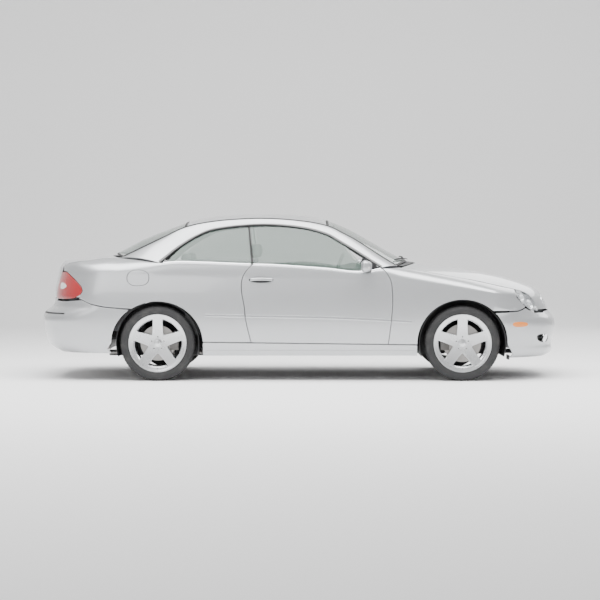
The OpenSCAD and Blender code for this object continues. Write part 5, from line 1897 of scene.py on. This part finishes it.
@dataclass
class Wheel:
    """Tyre, five-spoke rim, brake disc and centre cap."""

    front: bool
    side: Side
    finishes: Finishes
    tyre_r: float = 330.0
    flange_r: float = 254.0
    spokes: int = 5
    bolt_circle: float = 56.0
    width: float = field(init=False)
    centre: tuple[float, float, float] = field(init=False)

    def __post_init__(self) -> None:
        """Reads the wheel's place from the frame."""
        low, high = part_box("tyre_" + self.word)
        self.width = (high.y - low.y) / MM
        self.centre = tuple((a + b) / 2 / MM for a, b in zip(low, high))

    @property
    def word(self) -> str:
        """The wheel's name in node and body names."""
        return ("front_" if self.front else "rear_") + self.side.word

    def build(self) -> None:
        """Makes the wheel's pieces."""
        self.tyre()
        self.rim()

    def tyre(self) -> None:
        """The tyre, with rings on its walls and cut tread."""
        h, s, r = self.width / 2 - 0.6, self.tyre_r - 0.4, self.flange_r
        wall = [(r - 8, h - 16), (r + 4, h - 9), (r + 14, h - 3), (r + 30, h - 0.5), (r + 33, h - 2),
                (r + 37, h - 2),
                (r + 40, h - 1), (s - 22, h - 7), (s - 12, h - 14)]
        tread, groove = [(s - 5, h - 20), (s - 2, h - 30)], s - 8
        for y in (h * 0.52, h * 0.18, -h * 0.18, -h * 0.52):
            tread += [(s, y + 5.5), (groove, y + 4), (groove, y - 4), (s, y - 5.5)]
        ring = wall + tread + [(a, -b) for a, b in (wall + tread[:2])[::-1]]
        lugs = 72

        def cut(radius: float, y: float, angle: float) -> float:
            """Cuts the shoulder blocks into the tread's edges."""
            if radius < s - 6 or abs(y) < h * 0.56:
                return radius
            return radius - 5 * ((angle * lugs / math.tau) % 1 < 0.26)

        tyre = lathe("tyre_body_" + self.word, ring, self.centre, self.finishes.tyre, 288, True, cut,
                self.side.value)
        fit(tyre, "wheel_" + self.word, "tyre", "tyre_" + self.word)

    def window(self, index: int) -> list[Point]:
        """The outline of one gap between two spokes."""
        middle = math.radians(90 + 36 + 72 * index)
        half_outer, half_inner, outer, inner = 37.0, 47.0, 217.0, 86.0
        limit = math.radians(36)
        a1, a0 = limit - half_outer / outer, limit - half_inner / inner
        ring = [(outer * math.cos(middle + t), outer * math.sin(middle + t))
                for t in np.linspace(-a1, a1, 18)]
        ring += [(inner * math.cos(middle + t), inner * math.sin(middle + t))
                for t in np.linspace(a0, -a0, 4)]
        return smooth(ring, 2)

    def rim(self) -> None:
        """The rim's face, barrel, disc, bolts, cap and valve."""
        f, s, w = self.finishes, self.side.value, self.width / 2 - 12
        cx, cy, cz = self.centre
        face = WheelFace((cx, cy + s * (w + 4), cz), self.side)
        outer = [(231 * math.cos(a), 231 * math.sin(a)) for a in np.linspace(0, math.tau, 97)[:-1]]
        holes = [self.window(i) for i in range(self.spokes)]
        for i in range(self.spokes):
            a = math.radians(90 + 72 * i)
            bx, bz = self.bolt_circle * math.cos(a), self.bolt_circle * math.sin(a)
            holes.append([(bx + 9 * math.cos(t), bz + 9 * math.sin(t))
                    for t in np.linspace(0, math.tau, 17)[:-1]])
        spokes = Panel(face, outer, holes, 16, 8).build("rim_face_" + self.word, f.alloy, 24, 4)
        r = self.flange_r - 1
        lip = [(r, w + 3), (r, w + 5.5), (r - 6, w + 5.5), (228, w - 2), (226, w - 26), (206, w - 44),
                (206, -w + 30),
               (226, -w + 12), (r, -w), (r, -w + 6), (232, -w + 18), (214, -w + 34), (214, w - 46),
               (234, w - 22),
               (240, w - 3)]
        barrel = lathe("barrel", lip, self.centre, f.alloy, 96, True, None, s)
        cap = lathe("cap", [(0, w + 2), (20, w + 1.5), (26, w - 0.5), (29, w + 0.5), (33, w - 1),
                (34, w - 12), (0, w - 12)],
                self.centre, f.alloy, 48, False, None, s)
        ring = lathe("cap_line", [(26, w - 0.4), (27, w + 0.6), (28.4, w + 0.4), (28.4, w - 3), (26, w - 3)],
                self.centre,
                f.dull_chrome, 48, True, None, s)
        fit(joined("rim_face_" + self.word, [spokes, barrel, cap, ring]), "wheel_" + self.word, "wheel_alloy",
            "rim_" + self.word)
        self.inside(w)

    def inside(self, w: float) -> None:
        """Disc, hub, bolts and valve behind the spokes."""
        f, s = self.finishes, self.side.value
        disc_r = 166 if self.front else 155
        gap = 30.0
        disc = lathe("disc", [(60, gap), (disc_r, gap), (disc_r, gap + 7), (disc_r - 6, gap + 7),
                (disc_r - 6, gap + 13),
                         (disc_r, gap + 13), (disc_r, gap + 20), (92, gap + 20), (88, gap + 30),
                         (60, gap + 30)],
                self.centre, f.disc, 96, True, None, s)
        hub = lathe("hub", [(34, gap + 26), (86, gap + 26), (86, w - 24), (40, w - 22)], self.centre, f.cast,
                48, True,
                None, s)
        made = [disc, hub]
        cx, cy, cz = self.centre
        for i in range(self.spokes):
            a = math.radians(90 + 72 * i)
            spot = (cx + self.bolt_circle * math.cos(a), cy + s * (w - 34),
                    cz + self.bolt_circle * math.sin(a))
            made.append(lathe_toward("bolt", [(0, 12), (6, 12), (7.5, 10), (7.5, 0), (0, 0)], spot,
                    np.array((0.0, float(s), 0.0)), f.cast, 6))
        valve = (cx, cy + s * (w - 2), cz - 222)
        made.append(lathe_toward("valve", [(0, 9), (3, 8), (3.6, 0), (0, 0)], valve,
                np.array((0.0, float(s), 0.0)),
                f.black, 12))
        fit(joined("wheel_inside_" + self.word, made), "wheel_" + self.word, "cast_iron")


# ---------------------------------------------------------------- Cabin


@dataclass
class Cushion:
    """A padded form, briefly swollen by cloth simulation within a small cap, with sewn channels."""

    name: str
    low: tuple[float, float, float]
    high: tuple[float, float, float]
    finishes: Finishes
    lean: float = 0.0
    cap: float = 14.0
    fill: float = 0.7
    channels: int = 4
    voxel: float = 0.016
    pressure: float = 4.0
    frames: int = 12

    def build(self, *nodes: str) -> bpy.types.Object:
        """Makes the cushion.

        Args:
            nodes: CAD nodes it stands for.

        Returns:
            The cushion.
        """
        shy = 6.0
        low = [a + shy for a in self.low]
        high = [b - shy for b in self.high]
        piece = block(self.name, low, high, self.finishes.leather,
                min(45.0, min(b - a for a, b in zip(low, high)) * 0.42),
                5)
        self.swell(piece)
        self.sew(piece)
        self.tilt(piece)
        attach(piece, "body")
        if nodes:
            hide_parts(*nodes)
        return piece

    def swell(self, piece: bpy.types.Object) -> None:
        """Swells the form under pressure, then cuts the movement to the cap and to its space.

        The simulation runs for a set number of frames, whether or not the form has come to rest.

        Args:
            piece: The form.
        """
        remesh = piece.modifiers.new("remesh", "REMESH")
        remesh.mode, remesh.voxel_size = "VOXEL", self.voxel
        self.apply(piece, remesh)
        before = np.array([v.co for v in piece.data.vertices])
        cloth = piece.modifiers.new("cloth", "CLOTH")
        cloth.settings.use_pressure, cloth.settings.uniform_pressure_force = True, self.pressure
        cloth.settings.effector_weights.gravity = 0
        scene = bpy.context.scene
        for number in range(1, self.frames + 1):
            scene.frame_set(number)
        self.apply(piece, cloth)
        scene.frame_set(1)
        after = np.array([v.co for v in piece.data.vertices])
        move = after - before
        size = np.maximum(np.linalg.norm(move, axis=1, keepdims=True), 1e-9)
        after = before + move * np.minimum(1, self.cap * MM / size)
        after = np.clip(after, np.array(self.low) * MM, np.array(self.high) * MM)
        piece.data.vertices.foreach_set("co", after.ravel())
        piece.data.polygons.foreach_set("use_smooth", [True] * len(piece.data.polygons))

    @staticmethod
    def apply(piece: bpy.types.Object, modifier: bpy.types.Modifier) -> None:
        """Applies a modifier."""
        with bpy.context.temp_override(object=piece, active_object=piece):
            bpy.ops.object.modifier_apply(modifier=modifier.name)

    def sew(self, piece: bpy.types.Object) -> None:
        """Pulls sewn channels into the form across the car.

        Args:
            piece: The form.
        """
        count = len(piece.data.vertices)
        co = np.zeros(count * 3)
        piece.data.vertices.foreach_get("co", co)
        co = co.reshape(-1, 3)
        low, high = np.array(self.low) * MM, np.array(self.high) * MM
        share = (co[:, 1] - low[1]) / (high[1] - low[1])
        wave = np.exp(-(((share * self.channels) % 1 - 0.5) / 0.09) ** 2) * (abs(share - 0.5) < 0.36)
        co -= (co - (low + high) / 2) * np.array((1, 0, 1)) * wave[:, None] * 0.05
        piece.data.vertices.foreach_set("co", co.ravel())
        piece.data.update()

    def tilt(self, piece: bpy.types.Object) -> None:
        """Leans the form back about its foot."""
        if self.lean:
            foot = Vector(((self.low[0] + self.high[0]) / 2, 0, self.low[2])) * MM
            turn = Matrix.Rotation(math.radians(-self.lean), 4, "Y")
            piece.data.transform(Matrix.Translation(foot) @ turn @ Matrix.Translation(-foot))


@dataclass
class Cabin:
    """Seats, dashboard, steering wheel and trim inside the car."""

    finishes: Finishes
    seat_y: float = 370.0

    def build(self) -> None:
        """Makes the cabin."""
        self.front_seats()
        self.rear_seat()
        self.dashboard()
        self.steering_wheel()
        self.linings()

    def front_seats(self) -> None:
        """Both front seats with their cushions, backs, headrests and bases."""
        f, nodes = self.finishes, ["front_seats"]
        for side in Side:
            y = self.seat_y * side.value
            parts = []
            base = Cushion("seat_cushion_" + side.word, (-345, y - 245, 385), (172, y + 245, 515), f,
                    fill=0.7)
            parts.append(base.build(*nodes))
            nodes = []
            back = Cushion("seat_back_" + side.word, (-452, y - 240, 392), (-352, y + 240, 1018), f, lean=7.0,
                    channels=3, cap=10)
            parts.append(back.build())
            rest = Cushion("headrest_" + side.word, (-448, y - 128, 1066), (-350, y + 128, 1205), f, cap=8,
                    channels=1)
            parts.append(rest.build())
            posts = [swept("post", [(-418, y + d, 985), (-408, y + d, 1030), (-400, y + d, 1085)],
                    [(0, 1, 0)] * 3,
                    circle(6), f.chrome) for d in (-45, 45)]
            frame_ = block("seat_base", (-345, y - 188, 266), (126, y + 188, 378), f.dash, 14)
            fit(joined("seat_base_" + side.word, [frame_, *posts]), "body", "dashboard_plastic")

    def rear_seat(self) -> None:
        """The rear bench, its back and headrests."""
        f, nodes = self.finishes, ["rear_seat"]
        for side in Side:
            y0, y1 = sorted((8 * side.value, 545 * side.value))
            seat = Cushion("rear_cushion_" + side.word, (-826, y0, 272), (-446, y1, 466), f)
            seat.build(*nodes)
            nodes = []
            Cushion("rear_back_" + side.word, (-960, y0, 470), (-845, y1, 960), f, lean=11.0, channels=3,
                    cap=10).build()
            Cushion("rear_headrest_" + side.word, (-1068, min(220 * side.value, 440 * side.value), 985),
                    (-975, max(220 * side.value, 440 * side.value), 1126), f, cap=8, channels=1).build()

    def dashboard(self) -> None:
        """The dashboard with its hood, vents, dials and console."""
        f = self.finishes
        shape = smooth([(790, 645), (790, 955), (700, 948), (610, 926), (574, 884), (592, 700), (690, 645)],
                2)
        made = [prism("dash", shape, -646, 646, f.dash, 10),
                prism("console", smooth([(-258, 268), (588, 268), (588, 636), (430, 560), (250, 470),
                (-240, 470)], 2),
                      -102, 102, f.panel_grey, 10),
                prism("binnacle", smooth([(640, 920), (566, 905), (556, 940), (640, 972), (700, 952)], 2),
                230, 510,
                      f.dash, 8)]
        for y in (-560, -90, 90, 560):
            made.append(block("vent", (566, y - 62, 838), (584, y + 62, 888), f.gloss_black, 4))
            made += [block("vane", (562, y - 56, z), (572, y + 56, z + 4), f.dull_chrome, 1)
                    for z in (850, 862, 874)]
        for y in (310, 430):
            made.append(lathe_toward("dial", [(0, 3), (44, 3), (48, 6), (50, 0)], (566, y, 905),
                    np.array((-0.96, 0, 0.28)), f.gloss_black))
        made.append(lathe_toward("gear_lever", [(9, -40), (8, 60), (22, 66), (24, 90), (14, 104), (0, 106)],
                (150, 0, 500), np.array((0.1, 0, 1)), f.black))
        fit(joined("dashboard_trim", made), "body", "dashboard_plastic", "dashboard")

    def steering_wheel(self) -> None:
        """The steering wheel's padded rim, spokes and boss."""
        f = self.finishes
        centre, axis = np.array((338.0, self.seat_y, 933.0)), np.array((-0.9298, 0.0, 0.3681))
        up = np.array((0.3681, 0.0, 0.9298))
        ring = [centre + 173 * (up * math.cos(a) + np.array((0, 1, 0)) * math.sin(a))
                for a in np.linspace(0, math.tau, 97)[:-1]]
        made = [swept("rim", ring, [axis] * len(ring), circle(14, 16), f.leather, closed=True)]
        made.append(lathe_toward("boss", [(0, 28), (40, 24), (58, 12), (60, -4), (12, -16)], centre, axis,
                f.dash))
        for a in (90, -90, 180):
            d = up * math.cos(math.radians(a)) + np.array((0, 1, 0)) * math.sin(math.radians(a))
            made.append(swept("spoke", [centre + d * r for r in (46, 90, 130, 168)], [axis] * 4, bar(36, 10),
                    f.dash,
                    taper=0.75))
        fit(joined("steering_wheel_trim", made), "steering_wheel", "dashboard_plastic", "steering_wheel")

    def linings(self) -> None:
        """The roof lining and the inner sides behind the doors."""
        f = self.finishes
        canopy = Canopy()
        lining = Panel(canopy, [(4.1, -0.94), (7.9, -0.94), (7.9, 0.94), (4.1, 0.94)], spacing=80)
        fit(lining.build("roof_lining", f.panel_grey, 1, 1, lift=-27), "body", "dashboard_plastic")
        for side in Side:
            ring = [(-1000, 400), (-560, 400), (-560, 1000), (-1000, 1010)]
            inner = Panel(Inner(side, 122), ring, spacing=60).build("quarter_trim_" + side.word, f.panel_grey,
                    2)
            fit(inner, "body", "dashboard_plastic")


# ---------------------------------------------------------------- Wipers, underside, studio


@dataclass
class Fittings:
    """Wipers, scuttle, mirror and the finishes of the frame's own pieces."""

    finishes: Finishes

    def build(self) -> None:
        """Makes the fittings and dresses the frame."""
        self.dress()
        self.wipers()
        self.inside_mirror()
        self.tail_pipe()

    def dress(self) -> None:
        """Gives every CAD piece that still shows its finish."""
        f = self.finishes
        under = ("floor_pan", "front_structure", "firewall", "rear_bulkhead")
        cast = ("engine_block", "front_axle", "rear_axle", "knuckle_left", "knuckle_right")
        chosen = {**dict.fromkeys(under, f.underbody), **dict.fromkeys(cast, f.cast), "exhaust": f.exhaust,
                "cowl": f.black, "wheel_liners": f.black, "side_sills": f.underbody,
                "handle_left": f.paint, "handle_right": f.paint}
        for name, node in frame["nodes"].items():
            node.data.materials.clear()
            node.data.materials.append(chosen.get(name, f.paint))

    def wipers(self) -> None:
        """Two wipers at the foot of the windshield."""
        canopy, f, made = Canopy(), self.finishes, []
        for pivot, tip in ((0.42, -0.12), (-0.12, -0.66)):
            line = [(mix(0.06, 0.34, t), mix(pivot, tip, t)) for t in np.linspace(0, 1, 14)]
            path = [canopy.point(u, v) + canopy.normal(u, v) * 14 for u, v in line]
            ups = [canopy.normal(u, v) for u, v in line]
            made.append(swept("arm", path, ups, bar(13, 7), f.black, taper=0.6))
            blade = [(mix(0.16, 0.42, t), mix(pivot - 0.12, tip - 0.16, t)) for t in np.linspace(0, 1, 18)]
            path = [canopy.point(u, v) + canopy.normal(u, v) * 4 for u, v in blade]
            made.append(swept("blade", path, [canopy.normal(u, v) for u, v in blade], bar(8, 10), f.seal))
        fit(joined("wipers", made), "body", "black_trim")

    def inside_mirror(self) -> None:
        """The mirror on the windshield."""
        shell = block("shell", (262, -120, 1290), (286, 120, 1345), self.finishes.black, 10)
        stem = swept("stem", [(286, 0, 1330), (306, 0, 1352), (316, 0, 1366)], [(0, 1, 0)] * 3, circle(8),
                self.finishes.black)
        fit(joined("inside_mirror", [shell, stem]), "body", "dashboard_plastic")

    def tail_pipe(self) -> None:
        """The exhaust's tail pipe."""
        pipe = swept("tail_pipe", [(-2050, 250, 292), (-2130, 250, 286), (-2236, 250, 278)], [(0, 0, 1)] * 3,
                circle(27, 28),
                self.finishes.exhaust)
        fit(pipe, "body", "exhaust_steel")


@dataclass
class Studio:
    """The floor, the lights and the camera."""

    eye: tuple[float, float, float] = (0.112, -15.87, 1.196)
    aim: tuple[float, float, float] = (0.008, -0.87, 0.709)
    lens: float = 103.4
    floor_front: float = 30
    floor_reach: float = 40
    wall_start: float = 9
    wall_bend: float = 4
    wall_height: float = 22

    def build(self) -> None:
        """Makes the studio."""
        self.floor()
        self.lights()
        self.camera()

    def floor(self) -> None:
        """A plain pale floor that curves up behind the car, and hides it from views far behind or below."""
        g = Graph("pale_floor")
        g.shade(Base_Color=(0.97, 0.97, 0.97), Roughness=0.8)
        start, bend, reach = self.wall_start, self.wall_bend, self.floor_reach
        rows = [(-self.floor_front, 0), (start, 0)]
        rows += [(start + bend * math.sin(a), bend - bend * math.cos(a))
                for a in np.linspace(0.1, 1.5708, 14)]
        rows.append((start + bend, self.wall_height))
        points = [(x, y, z) for y, z in rows for x in (-reach, reach)]
        faces = [(2 * i, 2 * i + 1, 2 * i + 3, 2 * i + 2) for i in range(len(rows) - 1)]
        make("studio_floor", points, faces, g.material, scale=1.0, angle=80)

    def lights(self) -> None:
        """Broad soft lights over and beside the car, and a white surround."""
        world = bpy.data.worlds.new("studio")
        bpy.context.scene.world = world
        world.use_nodes = True
        world.node_tree.nodes["Background"].inputs["Color"].default_value = (1, 1, 1, 1)
        world.node_tree.nodes["Background"].inputs["Strength"].default_value = 0.8
        for place, aim, size, power in (((0, -1.5, 6.5), (0, 0, 0.6), (10, 6), 1500),
                ((-4, -9, 4.5), (0, 0, 0.7), (6, 3), 160),
                ((5, 7, 5), (0, 0, 0.8), (6, 4), 200)):
            data = bpy.data.lights.new("softbox", "AREA")
            data.shape, data.size, data.size_y, data.energy = "RECTANGLE", *size, power
            lamp = bpy.data.objects.new("softbox", data)
            bpy.context.scene.collection.objects.link(lamp)
            lamp.location = place
            lamp.rotation_euler = (Vector(aim) - Vector(place)).to_track_quat("-Z", "Y").to_euler()

    def camera(self) -> None:
        """The camera, level with the door handles and far off to the side."""
        data = bpy.data.cameras.new("camera")
        data.lens, data.sensor_width = self.lens, 36
        camera = bpy.data.objects.new("camera", data)
        bpy.context.scene.collection.objects.link(camera)
        camera.location = self.eye
        camera.rotation_euler = (Vector(self.aim) - Vector(self.eye)).to_track_quat("-Z", "Y").to_euler()
        bpy.context.scene.camera = camera


def main() -> None:
    """Builds every sub-assembly in order."""
    logging.basicConfig(level=logging.INFO, format="%(message)s")
    finishes = Finishes()
    parts = [Studio(), Fittings(finishes), *[BodySide(side, finishes) for side in Side], Ends(finishes),
            Decks(finishes),
            Lamps(finishes), *[Door(side, finishes) for side in Side],
            *[SideTrim(side, finishes) for side in Side],
            *[Wheel(front, side, finishes) for front in (True, False) for side in Side], Cabin(finishes)]
    for part in parts:
        part.build()
        log.info("built %s", type(part).__name__)


if __name__ == "__main__":
    main()
